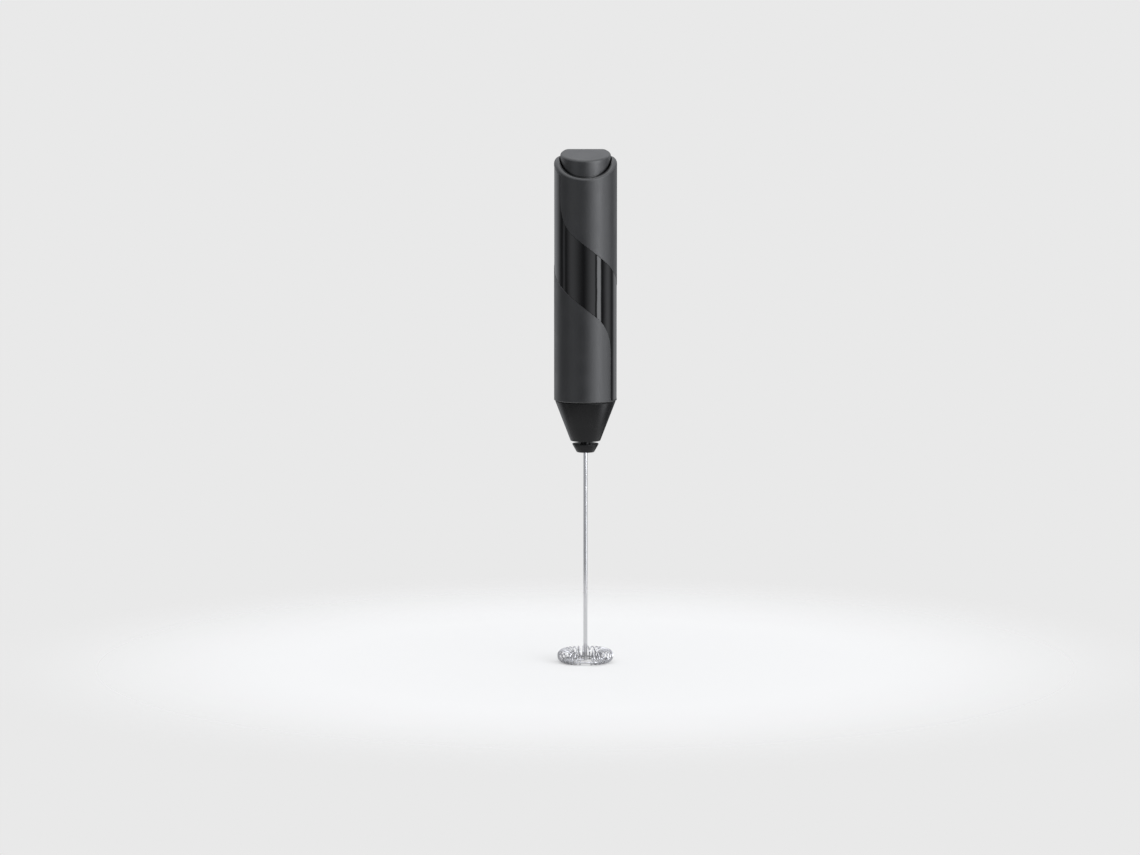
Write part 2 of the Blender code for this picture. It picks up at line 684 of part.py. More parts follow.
def make_seals(chassis):
    """The ring that grips the barrel's bore, and the lip seal round the spindle's neck."""
    ring = []
    for k in range(BARREL_STEPS):
        turn = math.tau * k / BARREL_STEPS
        radius = SEAL_GROOVE_R + SEAL_WIRE_R + SEAT
        ring.append(Vector((radius * math.cos(turn), radius * math.sin(turn), SEAL_Z)))
    swept_wire("nose_seal_ring", ring, SEAL_WIRE_R, 5, "rubber", chassis, closed=True)
    low = NOSE_Z + NOSE_FLOOR + SEAT
    high = low + SHAFT_SEAL_HEIGHT
    bore = NECK_R + SEAT
    outline = [(bore, low), (SHAFT_SEAL_R, low), (SHAFT_SEAL_R, high), (bore + 1 * MM, high)]
    outline += [(bore, low + GAP)]
    turned("shaft_seal", outline, "rubber", chassis)


def make_frame(chassis):
    """The inner frame: a motor plate with two legs, a bulkhead, and an open-fronted bay for two cells."""
    shoulder = SPIGOT_TOP_Z + GAP
    outline = [
        (0, FRAME_Z),
        (FRAME_LOW_R, FRAME_Z),
        (FRAME_LOW_R, shoulder),
        (FRAME_R, shoulder),
        (FRAME_R, FRAME_TOP_Z),
        (0, FRAME_TOP_Z),
    ]
    frame = turned("inner_frame", outline, "frame_plastic", chassis, BARREL_STEPS)
    wide = 2 * BARREL_R
    flat = MOTOR_HALF_FLAT + GAP
    cut(frame, block("motor_bay", (-wide, -flat, MOTOR_SEAT_Z), (wide, flat, MOTOR_BAY_TOP_Z), "frame_plastic"))
    cut(frame, rod("boss_hole", BOSS_R + SEAT, FRAME_Z - 1 * MM, MOTOR_SEAT_Z + 1 * MM, "frame_plastic"))
    for side, sign in (("left", -1), ("right", 1)):
        at = (sign * MOTOR_SCREW_X, 0)
        low, high = FRAME_Z - 1 * MM, MOTOR_SEAT_Z + 1 * MM
        cut(frame, rod("screw_hole_" + side, SCREW_R + SEAT, low, high, "nickel", None, at))
        at = (sign * CELL_X, 0)
        name = "cell_pocket_" + side
        cut(frame, rod(name, POCKET_R, CELL_BAY_Z, CELL_BAY_TOP_Z, "nickel", None, at, ROUND_STEPS))
        low = (sign * CELL_X - TAB_HALF_WIDTH - SEAT, TAB_Y - SEAT, CELL_BAY_TOP_Z - 1 * MM)
        high = (sign * CELL_X + TAB_HALF_WIDTH + SEAT, TAB_Y + CONTACT_THICK + SEAT, FRAME_TOP_Z + 1 * MM)
        cut(frame, block("tab_slot_" + side, low, high, "nickel"))
    for side, sign in (("front", -1), ("back", 1)):
        hole = radial_hole("leg_hole_" + side, SCREW_R + SEAT, flat - 1 * MM, BARREL_R, sign, NOSE_SCREW_Z)
        cut(frame, hole)
    low = (-wide, -wide, CELL_BAY_Z)
    cut(frame, block("open_front", low, (wide, OPEN_FRONT_Y, CELL_BAY_TOP_Z), "frame_plastic"))
    low = (-WEB_HALF, OPEN_FRONT_Y - 1 * MM, CELL_BAY_Z)
    cut(frame, block("web_relief", low, (WEB_HALF, WEB_Y, CELL_BAY_TOP_Z), "frame_plastic"))
    groove = LEAD_X + LEAD_R + GAP
    low = (-groove, LEAD_GROOVE_Y, MOTOR_BAY_TOP_Z - 1 * MM)
    cut(frame, block("lead_groove", low, (groove, wide, FRAME_TOP_Z + 1 * MM), "frame_plastic"))
    half = TERMINAL_X / 2 + LEAD_X
    low, high = (-half, 0, ENDBELL_TOP_Z - 1 * MM), (half, wide, MOTOR_BAY_TOP_Z + SEAT)
    cut(frame, block("lead_window", low, high, "frame_plastic"))


# ---------------------------------------------------------------- motor


def motor_section(name, radius, half_flat, low, high, finish_name, parent=None):
    """A round bar with two flats, the shape of the motor's can."""
    piece = rod(name, radius, low, high, finish_name, parent, steps=ROUND_STEPS)
    wide = 2 * radius
    lowest, highest = (-wide, -half_flat, low - 1 * MM), (wide, half_flat, high + 1 * MM)
    keep(piece, block(name + "_flats", lowest, highest, finish_name))
    return piece


def make_motor_case(chassis):
    can = motor_section("motor_can", MOTOR_R, MOTOR_HALF_FLAT, CAN_Z, CAN_TOP_Z, "zinc_steel", chassis)
    join(can, rod("can_boss", BOSS_R, CAN_Z - BOSS_HEIGHT, CAN_Z + 0.5 * MM, "zinc_steel", steps=SHAFT_STEPS))
    inner_r, inner_flat = MOTOR_R - CAN_WALL, MOTOR_HALF_FLAT - CAN_WALL
    floor = CAN_Z + CAN_FRONT
    cut(can, motor_section("can_bore", inner_r, inner_flat, floor, CAN_TOP_Z + 1 * MM, "zinc_steel"))
    cut(can, rod("bush_hole", BUSH_R + FIT, CAN_Z - 5 * MM, CAN_Z + 5 * MM, "zinc_steel", steps=SHAFT_STEPS))
    for side, sign in (("left", -1), ("right", 1)):
        at = (sign * MOTOR_SCREW_X, 0)
        low, high = CAN_Z - 1 * MM, floor + 1 * MM
        cut(can, rod("can_hole_" + side, SCREW_R + SEAT, low, high, "zinc_steel", None, at))
    low, high = CAN_TOP_Z + SEAT, ENDBELL_TOP_Z
    bell = motor_section("motor_endbell", MOTOR_R, MOTOR_HALF_FLAT, low, high, "endbell_plastic", chassis)
    boss_top = ENDBELL_BOSS_TOP_Z
    boss_low = low + 0.5 * MM
    join(bell, rod("bell_boss", ENDBELL_BOSS_R, boss_low, boss_top, "endbell_plastic", steps=SHAFT_STEPS))
    cut(bell, rod("bell_bore", BUSH_R + FIT, low - 1 * MM, boss_top + 1 * MM, "nickel", steps=SHAFT_STEPS))


def make_bush(chassis, name, low, high):
    outline = [(BUSH_BORE_R, low), (BUSH_R, low), (BUSH_R, high), (BUSH_BORE_R, high)]
    turned(name, outline, "bronze", chassis, SHAFT_STEPS)


def make_magnet(chassis, side, sign):
    """A curved magnet along one side of the can."""
    outer, inner = MOTOR_R - CAN_WALL - SEAT, MAGNET_BORE_R
    half_angle = min(MAGNET_HALF_ANGLE, math.asin((MOTOR_HALF_FLAT - CAN_WALL - SEAT) / outer))
    low, high = ARMATURE_Z - 1 * MM, ARMATURE_TOP_Z + 1 * MM
    bm = bmesh.new()
    start = -half_angle if sign > 0 else math.pi - half_angle
    corners = ((inner, low), (outer, low), (outer, high), (inner, high))
    verts = [bm.verts.new((r * math.cos(start), r * math.sin(start), z)) for r, z in corners]
    face = bm.faces.new(verts)
    bmesh.ops.spin(
        bm,
        geom=[face],
        cent=(0, 0, 0),
        axis=(0, 0, 1),
        angle=2 * half_angle,
        steps=8,
    )
    finish("motor_magnet_" + side, bm, "ferrite", chassis)


def make_brush(chassis, side, sign):
    """A springy blade that leans on the commutator."""
    near, far = COMMUTATOR_R + GAP, COMMUTATOR_R + 2 * GAP
    corners = sorted((sign * near, sign * far))
    lowest = (corners[0], -BRUSH_HALF_WIDTH, CAN_TOP_Z - BRUSH_HEIGHT)
    highest = (corners[1], BRUSH_HALF_WIDTH, CAN_TOP_Z)
    block("motor_brush_" + side, lowest, highest, "copper", chassis)


def make_motor_terminal(chassis, side, sign):
    """A blade on the end bell that a lead is soldered to."""
    x = sign * TERMINAL_X
    low = (x - TERMINAL_HALF_THICK, -TERMINAL_HALF_WIDTH, ENDBELL_TOP_Z + SEAT)
    high = (x + TERMINAL_HALF_THICK, TERMINAL_HALF_WIDTH, TERMINAL_TOP_Z)
    blade = block("motor_terminal_" + side, low, high, "nickel", chassis)
    bevel = blade.modifiers.new("corners", "BEVEL")
    bevel.width = TERMINAL_HALF_THICK / 2
    bevel.segments = 1


def make_motor_screw(chassis, side, sign):
    """A pan-head screw from under the motor plate into the can's front."""
    head = FRAME_Z - SEAT
    foot = head - SCREW_HEAD
    tip = CAN_Z + CAN_FRONT + 0.8 * MM
    outline = [(0, foot), (SCREW_HEAD_R - GAP, foot), (SCREW_HEAD_R, foot + GAP), (SCREW_HEAD_R, head)]
    outline += [(SCREW_R, head), (SCREW_R, tip - SCREW_R / 2), (0, tip)]
    bm = spin_outline(outline, SMALL_STEPS)
    bmesh.ops.translate(bm, verts=bm.verts[:], vec=(sign * MOTOR_SCREW_X, 0, 0))
    finish("motor_screw_" + side, bm, "zinc_steel", chassis)


def make_armature(spindle):
    """Three poles on the motor shaft, with the slots for the windings between them."""
    bore = MOTOR_SHAFT_R + FIT
    outline = [
        (bore, ARMATURE_Z),
        (ARMATURE_R, ARMATURE_Z),
        (ARMATURE_R, ARMATURE_TOP_Z),
        (bore, ARMATURE_TOP_Z),
    ]
    armature = turned("motor_armature", outline, "copper", spindle, SHAFT_STEPS)
    for k in range(3):
        turn = math.tau * k / 3 + math.pi / 6
        at = (0.85 * ARMATURE_R * math.cos(turn), 0.85 * ARMATURE_R * math.sin(turn))
        low, high = ARMATURE_Z - 1 * MM, ARMATURE_TOP_Z + 1 * MM
        cut(armature, rod(f"armature_slot_{k + 1}", 0.27 * ARMATURE_R, low, high, "copper", None, at, 12))
    low, high = ARMATURE_TOP_Z + SEAT, CAN_TOP_Z - 0.4 * MM
    outline = [(bore, low), (COMMUTATOR_R, low), (COMMUTATOR_R, high), (bore, high)]
    turned("motor_commutator", outline, "copper", spindle, SHAFT_STEPS)


# ---------------------------------------------------------------- spindle and whisk


def make_hub(spindle):
    """The turning plastic piece: a collar below the nose and a neck that goes up to the motor shaft."""
    top = COLLAR_Z + COLLAR_HEIGHT
    grip_top = COLLAR_Z + SHAFT_GRIP
    motor_grip = grip_top + HUB_WEB
    hub_top = motor_grip + MOTOR_SHAFT_GRIP
    outline = [
        (SHAFT_R + FIT, COLLAR_Z),
        (COLLAR_FOOT_R - COLLAR_EDGE, COLLAR_Z),
        (COLLAR_FOOT_R, COLLAR_Z + COLLAR_EDGE),
        (COLLAR_R, top - COLLAR_RIM),
        (COLLAR_R, top),
        (NECK_R, top),
        (NECK_R, hub_top),
        (MOTOR_SHAFT_R + FIT, hub_top),
        (MOTOR_SHAFT_R + FIT, motor_grip),
        (0, motor_grip),
        (0, grip_top),
        (SHAFT_R + FIT, grip_top),
    ]
    turned("spindle_hub", outline, "nose_plastic", spindle, ROUND_STEPS)


def make_shafts(spindle):
    grip_top = COLLAR_Z + SHAFT_GRIP - SEAT
    rod("whisk_shaft", SHAFT_R, SHAFT_FOOT_Z, grip_top, "stainless", spindle)
    low = COLLAR_Z + SHAFT_GRIP + HUB_WEB + SEAT
    rod("motor_shaft", MOTOR_SHAFT_R, low, ENDBELL_BOSS_TOP_Z - SEAT, "stainless", spindle, steps=SHAFT_STEPS)


def coil_angle(turns):
    """Angle about Z that the coil has reached after this many of its turns."""
    opening = COIL_OPENING / WHISK_RING_R
    return -math.pi / 2 + opening / 2 + (math.tau - opening) * turns / COIL_TURNS


def leg_angle():
    """Where the hoop's leg passes midway between two turns of the coil, low on its inner side."""
    low = math.asin((HOOP_Z - WHISK_TUBE_R) / (WHISK_TUBE_R - COIL_WIRE_R))
    return coil_angle(LEG_TURN - (math.pi / 2 + low) / math.tau)


def make_hoop(spindle):
    """The ring of wire inside the coil, with a leg that is welded to the shaft's foot."""
    ring = []
    for k in range(BARREL_STEPS):
        turn = math.tau * k / BARREL_STEPS
        ring.append(Vector((WHISK_RING_R * math.cos(turn), WHISK_RING_R * math.sin(turn), HOOP_Z)))
    hoop = swept_wire("whisk_hoop", ring, HOOP_WIRE_R, 6, "stainless", spindle, closed=True)
    way = Vector((math.cos(leg_angle()), math.sin(leg_angle()), 0))
    height = Vector((0, 0, HOOP_Z))
    ends = [height + way * (SHAFT_R + FIT), height + way * WHISK_RING_R]
    join(hoop, swept_wire("whisk_leg", ends, HOOP_WIRE_R * 0.95, 6, "stainless"))


def make_coil(spindle):
    """Fine wire wound round the hoop, open for a few millimetres at the front."""
    loop_r = WHISK_TUBE_R - COIL_WIRE_R
    steps = 10
    path = []
    for i in range(COIL_TURNS * steps + 1):
        round_axis = coil_angle(i / steps)
        round_wire = -math.pi / 2 + math.tau * i / steps
        radius = WHISK_RING_R + loop_r * math.cos(round_wire)
        z = WHISK_TUBE_R + loop_r * math.sin(round_wire)
        path.append(Vector((radius * math.cos(round_axis), radius * math.sin(round_axis), z)))
    swept_wire("whisk_coil", path, COIL_WIRE_R, 4, "stainless", spindle)


# ---------------------------------------------------------------- cells, contacts, switch and leads


def make_cell(chassis, side, x, low, nub_up):
    """One dry cell, with its raised end up or down."""
    nub, edge = CELL_NUB_HEIGHT, GAP
    high = low + CELL_LENGTH
    outline = [(0, low), (CELL_R - edge, low), (CELL_R, low + edge), (CELL_R, high - nub - edge)]
    outline += [(CELL_R - edge, high - nub), (CELL_NUB_R, high - nub), (CELL_NUB_R, high), (0, high)]
    if not nub_up:
        outline = [(r, low + high - z) for r, z in outline]
    bm = spin_outline(outline, ROUND_STEPS)
    bmesh.ops.translate(bm, verts=bm.verts[:], vec=(x, 0, 0))
    finish("cell_" + side, bm, "cell_sleeve", chassis)


def make_upper_contact(chassis, name, x):
    """A plate over one cell with a tab that comes up through the frame."""
    low_z, high_z = UPPER_CONTACT_Z, UPPER_CONTACT_Z + CONTACT_THICK
    back = TAB_Y + CONTACT_THICK
    low, high = (x - CONTACT_HALF, -CONTACT_HALF, low_z), (x + CONTACT_HALF, back, high_z)
    plate = block(name, low, high, "nickel", chassis)
    half = TAB_HALF_WIDTH
    middle = (low_z + high_z) / 2
    tab = block(name + "_tab", (x - half, TAB_Y + FIT, middle), (x + half, back - FIT, TAB_TOP_Z), "nickel")
    join(plate, tab)


def make_contacts(chassis):
    reach = CELL_X + CONTACT_HALF
    low, high = (-reach, -BRIDGE_HALF_Y, BRIDGE_Z), (reach, BRIDGE_HALF_Y, BRIDGE_Z + CONTACT_THICK)
    block("bridge_contact", low, high, "nickel", chassis)
    make_upper_contact(chassis, "positive_contact", -CELL_X)
    make_upper_contact(chassis, "negative_contact", CELL_X)
    room = SPRING_WIRE_R + SEAT
    low, high = BRIDGE_Z + CONTACT_THICK + room, CELL_LEFT_Z - room
    path = helix(low, high, CELL_SPRING_R, CELL_SPRING_TIP_R, 4, 10, (-CELL_X, 0))
    swept_wire("bridge_spring", path, SPRING_WIRE_R, 4, "nickel", chassis)
    low, high = CELL_RIGHT_TOP_Z + room, UPPER_CONTACT_Z - room
    path = helix(low, high, CELL_SPRING_TIP_R, CELL_SPRING_R, 4, 10, (CELL_X, 0))
    swept_wire("negative_spring", path, SPRING_WIRE_R, 4, "nickel", chassis)


def make_switch(chassis, switch):
    """A push switch: body, two blades and a plunger that the button's stem presses."""
    top = SWITCH_Z + SWITCH_HEIGHT
    low, high = (-SWITCH_HALF_X, -SWITCH_HALF_Y, SWITCH_Z), (SWITCH_HALF_X, SWITCH_HALF_Y, top)
    case = block("switch_body", low, high, "switch_plastic", chassis)
    well = PLUNGER_Z - TRAVEL - GAP
    cut(case, rod("plunger_well", PLUNGER_R + 2 * SEAT, well, top + 1 * MM, "nickel", steps=SHAFT_STEPS))
    for side, sign in (("left", -1), ("right", 1)):
        root, tip = SWITCH_HALF_X - 1.0 * MM, SWITCH_HALF_X + BLADE_REACH
        x = sorted((sign * root, sign * tip))
        low, high = (x[0], -BLADE_HALF_WIDTH, BLADE_Z), (x[1], BLADE_HALF_WIDTH, BLADE_Z + BLADE_THICK)
        block("switch_terminal_" + side, low, high, "nickel", chassis)
        x = sorted((sign * (root - SEAT), sign * (tip + 1 * MM)))
        low = (x[0], -BLADE_HALF_WIDTH - SEAT, BLADE_Z - SEAT)
        high = (x[1], BLADE_HALF_WIDTH + SEAT, BLADE_Z + BLADE_THICK + SEAT)
        cut(case, block("blade_slot_" + side, low, high, "nickel"))
    outline = [(0, PLUNGER_Z), (PLUNGER_R, PLUNGER_Z), (PLUNGER_R, PLUNGER_TOP_Z - GAP)]
    outline += [(PLUNGER_R - GAP, PLUNGER_TOP_Z), (0, PLUNGER_TOP_Z)]
    turned("switch_plunger", outline, "endbell_plastic", switch, SHAFT_STEPS)


def make_lead(chassis, name, way, sign, finish_name):
    """A lead from the top of the frame, down the groove at the back, to a motor terminal."""
    x = sign * LEAD_X
    end_x = sign * (TERMINAL_X - TERMINAL_HALF_THICK - LEAD_R - SEAT)
    end_z = TERMINAL_TOP_Z - 1.3 * MM
    points = way + [
        Vector((x, LEAD_Y, FRAME_TOP_Z + 0.6 * MM)),
        Vector((x, LEAD_Y, FRAME_TOP_Z - 3 * MM)),
        Vector((x, LEAD_Y, (CELL_BAY_Z + FRAME_TOP_Z) / 2)),
        Vector((x, LEAD_Y, CELL_BAY_Z + 2 * MM)),
        Vector((1.3 * x, LEAD_Y - 0.4 * MM, MOTOR_BAY_TOP_Z - 2 * SEAT)),
        Vector((end_x * 0.55, LEAD_Y - 4.0 * MM, end_z)),
        Vector((end_x, 2.0 * MM, end_z)),
        Vector((end_x, -0.2 * MM, end_z)),
    ]
    swept_wire(name, smooth_route(points, 4), LEAD_R, 5, finish_name, chassis)


def make_leads(chassis):
    """The red lead comes from the switch, the black one from the negative contact's tab."""
    blade_top = BLADE_Z + BLADE_THICK + LEAD_R + SEAT
    red = [
        Vector((SWITCH_HALF_X + BLADE_REACH - LEAD_R, 0, blade_top)),
        Vector((SWITCH_HALF_X + 1.2 * MM, SWITCH_HALF_Y + 1.2 * MM, blade_top + 1.0 * MM)),
        Vector((2.2 * MM, LEAD_Y - 2.5 * MM, blade_top + 0.6 * MM)),
    ]
    make_lead(chassis, "lead_positive", red, -1, "lead_red")
    black = [
        Vector((CELL_X, TAB_Y + CONTACT_THICK + LEAD_R + SEAT, TAB_TOP_Z - LEAD_R)),
        Vector((3.6 * MM, LEAD_Y - 2.3 * MM, TAB_TOP_Z - LEAD_R + SEAT)),
    ]
    make_lead(chassis, "lead_negative", black, 1, "lead_black")


# ---------------------------------------------------------------- the frother


def main():
    clear_scene()
    chassis = body("chassis_pieces")
    grip = body("grip_pieces")
    button = body("button_pieces")
    switch = body("switch_pieces")
    spindle = body("spindle_pieces")

    make_barrel(grip)
    make_button_guide(grip)
    make_button_spring(grip)
    make_button(button)
    make_button_clip(button)

    make_nose(chassis)
    make_seals(chassis)
    make_frame(chassis)
    for side, sign in (("front", -1), ("back", 1)):
        make_nose_screw(chassis, side, sign)

    make_motor_case(chassis)
    make_bush(chassis, "motor_front_bush", CAN_Z - BOSS_HEIGHT, CAN_Z + CAN_FRONT)
    make_bush(chassis, "motor_rear_bush", CAN_TOP_Z + SEAT, ENDBELL_BOSS_TOP_Z)
    for side, sign in (("left", -1), ("right", 1)):
        make_magnet(chassis, side, sign)
        make_brush(chassis, side, sign)
        make_motor_terminal(chassis, side, sign)
        make_motor_screw(chassis, side, sign)

    make_armature(spindle)
    make_hub(spindle)
    make_shafts(spindle)
    make_hoop(spindle)
    make_coil(spindle)

    make_cell(chassis, "left", -CELL_X, CELL_LEFT_Z, nub_up=True)
    make_cell(chassis, "right", CELL_X, CELL_RIGHT_Z, nub_up=False)
    make_contacts(chassis)
    make_switch(chassis, switch)
    make_leads(chassis)


main()
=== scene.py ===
# %% [markdown]
# # A hand-held milk frother, dressed for its portrait
#
# This notebook takes a finished mechanical model of a battery milk frother and gives it its looks. The
# mechanical model fixes every size and every moving piece. What is added here is what the eye sees: rounder
# surfaces, real wire, and materials that behave like lacquer, polished plastic and steel.
#
# The frame is loaded first, and its box is noted, because nothing that is made later may grow past it.

# %% Load the frame
import math

import bmesh
import bpy
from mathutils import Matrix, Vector


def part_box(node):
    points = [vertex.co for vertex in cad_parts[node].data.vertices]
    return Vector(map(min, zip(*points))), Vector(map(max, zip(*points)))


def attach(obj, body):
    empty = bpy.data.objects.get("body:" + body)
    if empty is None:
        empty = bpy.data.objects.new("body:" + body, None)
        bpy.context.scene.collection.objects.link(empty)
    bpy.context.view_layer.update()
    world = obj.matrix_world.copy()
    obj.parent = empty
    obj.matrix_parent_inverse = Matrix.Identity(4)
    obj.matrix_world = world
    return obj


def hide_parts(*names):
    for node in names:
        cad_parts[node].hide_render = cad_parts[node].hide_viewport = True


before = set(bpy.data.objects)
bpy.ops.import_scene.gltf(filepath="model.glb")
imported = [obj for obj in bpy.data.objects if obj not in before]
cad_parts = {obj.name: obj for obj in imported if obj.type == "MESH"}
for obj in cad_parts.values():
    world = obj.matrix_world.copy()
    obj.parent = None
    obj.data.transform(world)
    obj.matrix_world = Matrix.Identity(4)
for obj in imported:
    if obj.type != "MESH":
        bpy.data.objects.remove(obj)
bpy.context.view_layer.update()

MM = 0.001

# %% [markdown]
# ## A few small helpers
#
# Colours are written as the hex values that a designer would use. Blender's shaders work with linear light,
# so one function turns a hex value into linear numbers. A second function adds one node to any node tree,
# sets its properties, and fills its inputs with either a value or a link. Both kinds of tree, for materials
# and for geometry, are built with it. Two short forms of it give the nodes that come up most: a sum or
# product, and a value that eases from one level to another.


# %% Colour and node helpers
def colour(hex_value):
    """A hex colour such as '#1a2b3c' as linear red, green, blue and alpha."""
    channels = [int(hex_value[i : i + 2], 16) / 255 for i in (1, 3, 5)]
    linear = [c / 12.92 if c <= 0.04045 else ((c + 0.055) / 1.055) ** 2.4 for c in channels]
    return (*linear, 1.0)


def add(tree, kind, inputs=None, **settings):
    """Adds a node. inputs maps an input's name or number to a value or to another node's output."""
    node = tree.nodes.new(kind)
    for name, value in settings.items():
        setattr(node, name, value)
    for key, value in (inputs or {}).items():
        if isinstance(value, bpy.types.NodeSocket):
            tree.links.new(value, node.inputs[key])
        else:
            node.inputs[key].default_value = value
    return node


def maths(tree, operation, *values):
    """The result of a Math node on two or three values."""
    return add(tree, "ShaderNodeMath", dict(enumerate(values)), operation=operation).outputs[0]


def eased(tree, value, low, high, start, end, **settings):
    """Eases from start to end while a value goes from low to high."""
    links = {"Value": value, "From Min": low, "From Max": high, "To Min": start, "To Max": end}
    settings["interpolation_type"] = "SMOOTHSTEP"
    return add(tree, "ShaderNodeMapRange", links, **settings).outputs["Result"]


print("soft black as linear light:", [round(c, 4) for c in colour("#2c2d2f")])

# %% [markdown]
# ## The camera
#
# The frother stands upright, seen from a little above, through a long lens from about two metres away. A
# long lens keeps the barrel's two edges almost parallel. The camera looks at a point a little below the
# object's half height and a little to its left, so that the object stands right of the middle.

# %% Camera
AIM = Vector((-6.9, 0, 105.9)) * MM
CAMERA_PLACE = Vector((-6.9, -2080, 337)) * MM
LONG_LENS = 148
FULL_FRAME = 36

camera_data = bpy.data.cameras.new("camera")
camera_data.lens = LONG_LENS
camera_data.sensor_width = FULL_FRAME
camera_data.clip_end = 100
camera = bpy.data.objects.new("camera", camera_data)
camera.location = CAMERA_PLACE
camera.rotation_euler = (AIM - CAMERA_PLACE).to_track_quat("-Z", "Y").to_euler()
bpy.context.scene.collection.objects.link(camera)
bpy.context.scene.camera = camera
bpy.context.scene.view_settings.view_transform = "Standard"
print("camera distance in m:", round((AIM - CAMERA_PLACE).length, 3))

# %% [markdown]
# ## Materials
#
# Each material starts from what the real one is. Plastics differ less in colour than in how they scatter
# light: a soft-touch lacquer has a broad, dull sheen, piano-black plastic has none of its own and shows the
# lamps sharply, and moulded plastic lies between the two because its mould was lightly etched.
#
# The function below makes the part that all of them share: a Principled shader, a fine bump from noise of a
# size given in millimetres, and a slight unevenness of the roughness, because no real surface is even.
# Object coordinates are in metres, so a pattern of size s has a scale of one over s.


# %% A moulded or coated surface
def surface(name, base, roughness, grain, bump, ior=1.5, metallic=0.0, spread=0.04, patch=9 * MM, **more):
    """A material with noise bump of a grain size, and roughness that wanders by spread over each patch."""
    made = bpy.data.materials.new(name)
    made.use_nodes = True
    tree = made.node_tree
    shader = tree.nodes["Principled BSDF"]
    shader.inputs["Base Color"].default_value = colour(base)
    shader.inputs["Metallic"].default_value = metallic
    shader.inputs["IOR"].default_value = ior
    for key, value in more.items():
        shader.inputs[key.replace("_", " ")].default_value = value
    place = add(tree, "ShaderNodeTexCoord").outputs["Object"]
    patches = add(tree, "ShaderNodeTexNoise", {"Vector": place, "Scale": 1 / patch, "Detail": 3.0})
    level = add(
        tree,
        "ShaderNodeMapRange",
        {
            "Value": patches.outputs["Fac"],
            "From Min": 0.3,
            "From Max": 0.7,
            "To Min": roughness - spread,
            "To Max": roughness + spread,
        },
    )
    tree.links.new(level.outputs["Result"], shader.inputs["Roughness"])
    fine = add(tree, "ShaderNodeTexNoise", {"Vector": place, "Scale": 1 / grain, "Detail": 2.0})
    relief = add(
        tree, "ShaderNodeBump", {"Height": fine.outputs["Fac"], "Strength": bump, "Distance": grain / 4}
    )
    tree.links.new(relief.outputs["Normal"], shader.inputs["Normal"])
    return made


# %% [markdown]
# ### Soft-touch lacquer
#
# The barrel and the button are ABS with a sprayed polyurethane lacquer that feels like suede. The lacquer's
# matting powder makes a broad highlight without an edge. The spray leaves a grain of about 0.3 mm; it is
# drawn at 0.7 mm, the finest that shows at this distance. A thin tint from noise keeps the black from being
# one flat colour.

# %% Soft-touch lacquer and its tint
soft_touch = surface("soft_touch_lacquer", "#101113", 0.43, 0.7 * MM, 0.08, ior=1.68)


def tint(material, dark, light, size):
    """Lets a material's colour wander between two close shades over patches of a size."""
    tree = material.node_tree
    place = add(tree, "ShaderNodeTexCoord").outputs["Object"]
    clouds = add(tree, "ShaderNodeTexNoise", {"Vector": place, "Scale": 1 / size, "Detail": 4.0})
    ramp = add(tree, "ShaderNodeValToRGB", {"Fac": clouds.outputs["Fac"]})
    ramp.color_ramp.elements[0].position = 0.35
    ramp.color_ramp.elements[1].position = 0.65
    ramp.color_ramp.elements[0].color = colour(dark)
    ramp.color_ramp.elements[1].color = colour(light)
    tree.links.new(ramp.outputs["Color"], tree.nodes["Principled BSDF"].inputs["Base Color"])
    return material


tint(soft_touch, "#0f1012", "#131416", 6 * MM)
print("lacquer nodes:", len(soft_touch.node_tree.nodes))

# %% [markdown]
# ### The other plastics and the rubber
#
# The band is a polished ABS moulding, piano black, with the faint long waviness of an injection moulding.
# The nose and the collar are ABS from a lightly etched mould: darker than the lacquer and not much over
# half as rough. Inside, the frame is unpainted light grey ABS, the end bell and the plunger are off-white
# nylon, the switch is black phenolic, and the seals are nitrile rubber, whose bloom makes it greyer than
# the plastics. The magnets are pressed ferrite, dark and dull.

# %% Plastics and rubber
piano_black = surface("piano_black_abs", "#060607", 0.05, 9 * MM, 0.03, ior=1.54, spread=0.015)
nose_plastic = surface("etched_black_abs", "#0b0b0c", 0.26, 0.6 * MM, 0.06, Specular_IOR_Level=0.25)
tint(nose_plastic, "#0a0a0b", "#0d0d0e", 5 * MM)
frame_plastic = surface("light_grey_abs", "#c6c7c5", 0.42, 0.6 * MM, 0.08)
tint(frame_plastic, "#c3c4c2", "#c9cac8", 8 * MM)
endbell_plastic = surface("natural_nylon", "#dcd8cb", 0.38, 0.8 * MM, 0.06, ior=1.53, Subsurface_Weight=0.05)
tint(endbell_plastic, "#d9d4c6", "#dfdbd0", 3 * MM)
switch_plastic = surface("black_phenolic", "#161617", 0.48, 0.5 * MM, 0.12, ior=1.6)
tint(switch_plastic, "#141415", "#1a1a1b", 1.5 * MM)
rubber = surface("nitrile_rubber", "#1b1b1c", 0.70, 0.5 * MM, 0.20, ior=1.52)
tint(rubber, "#19191a", "#202021", 1.2 * MM)
ferrite = surface("pressed_ferrite", "#313136", 0.60, 0.4 * MM, 0.30, ior=2.0)
tint(ferrite, "#2c2c31", "#38383d", 1.0 * MM)
lead_red = surface("red_pvc", "#b3161b", 0.42, 0.4 * MM, 0.05, ior=1.53)
tint(lead_red, "#ab1318", "#ba1a20", 2 * MM)
lead_black = surface("black_pvc", "#1a1a1b", 0.42, 0.4 * MM, 0.05, ior=1.53)
tint(lead_black, "#171718", "#1e1e1f", 2 * MM)
print("plastics made:", len([m for m in bpy.data.materials if "_" in m.name]))

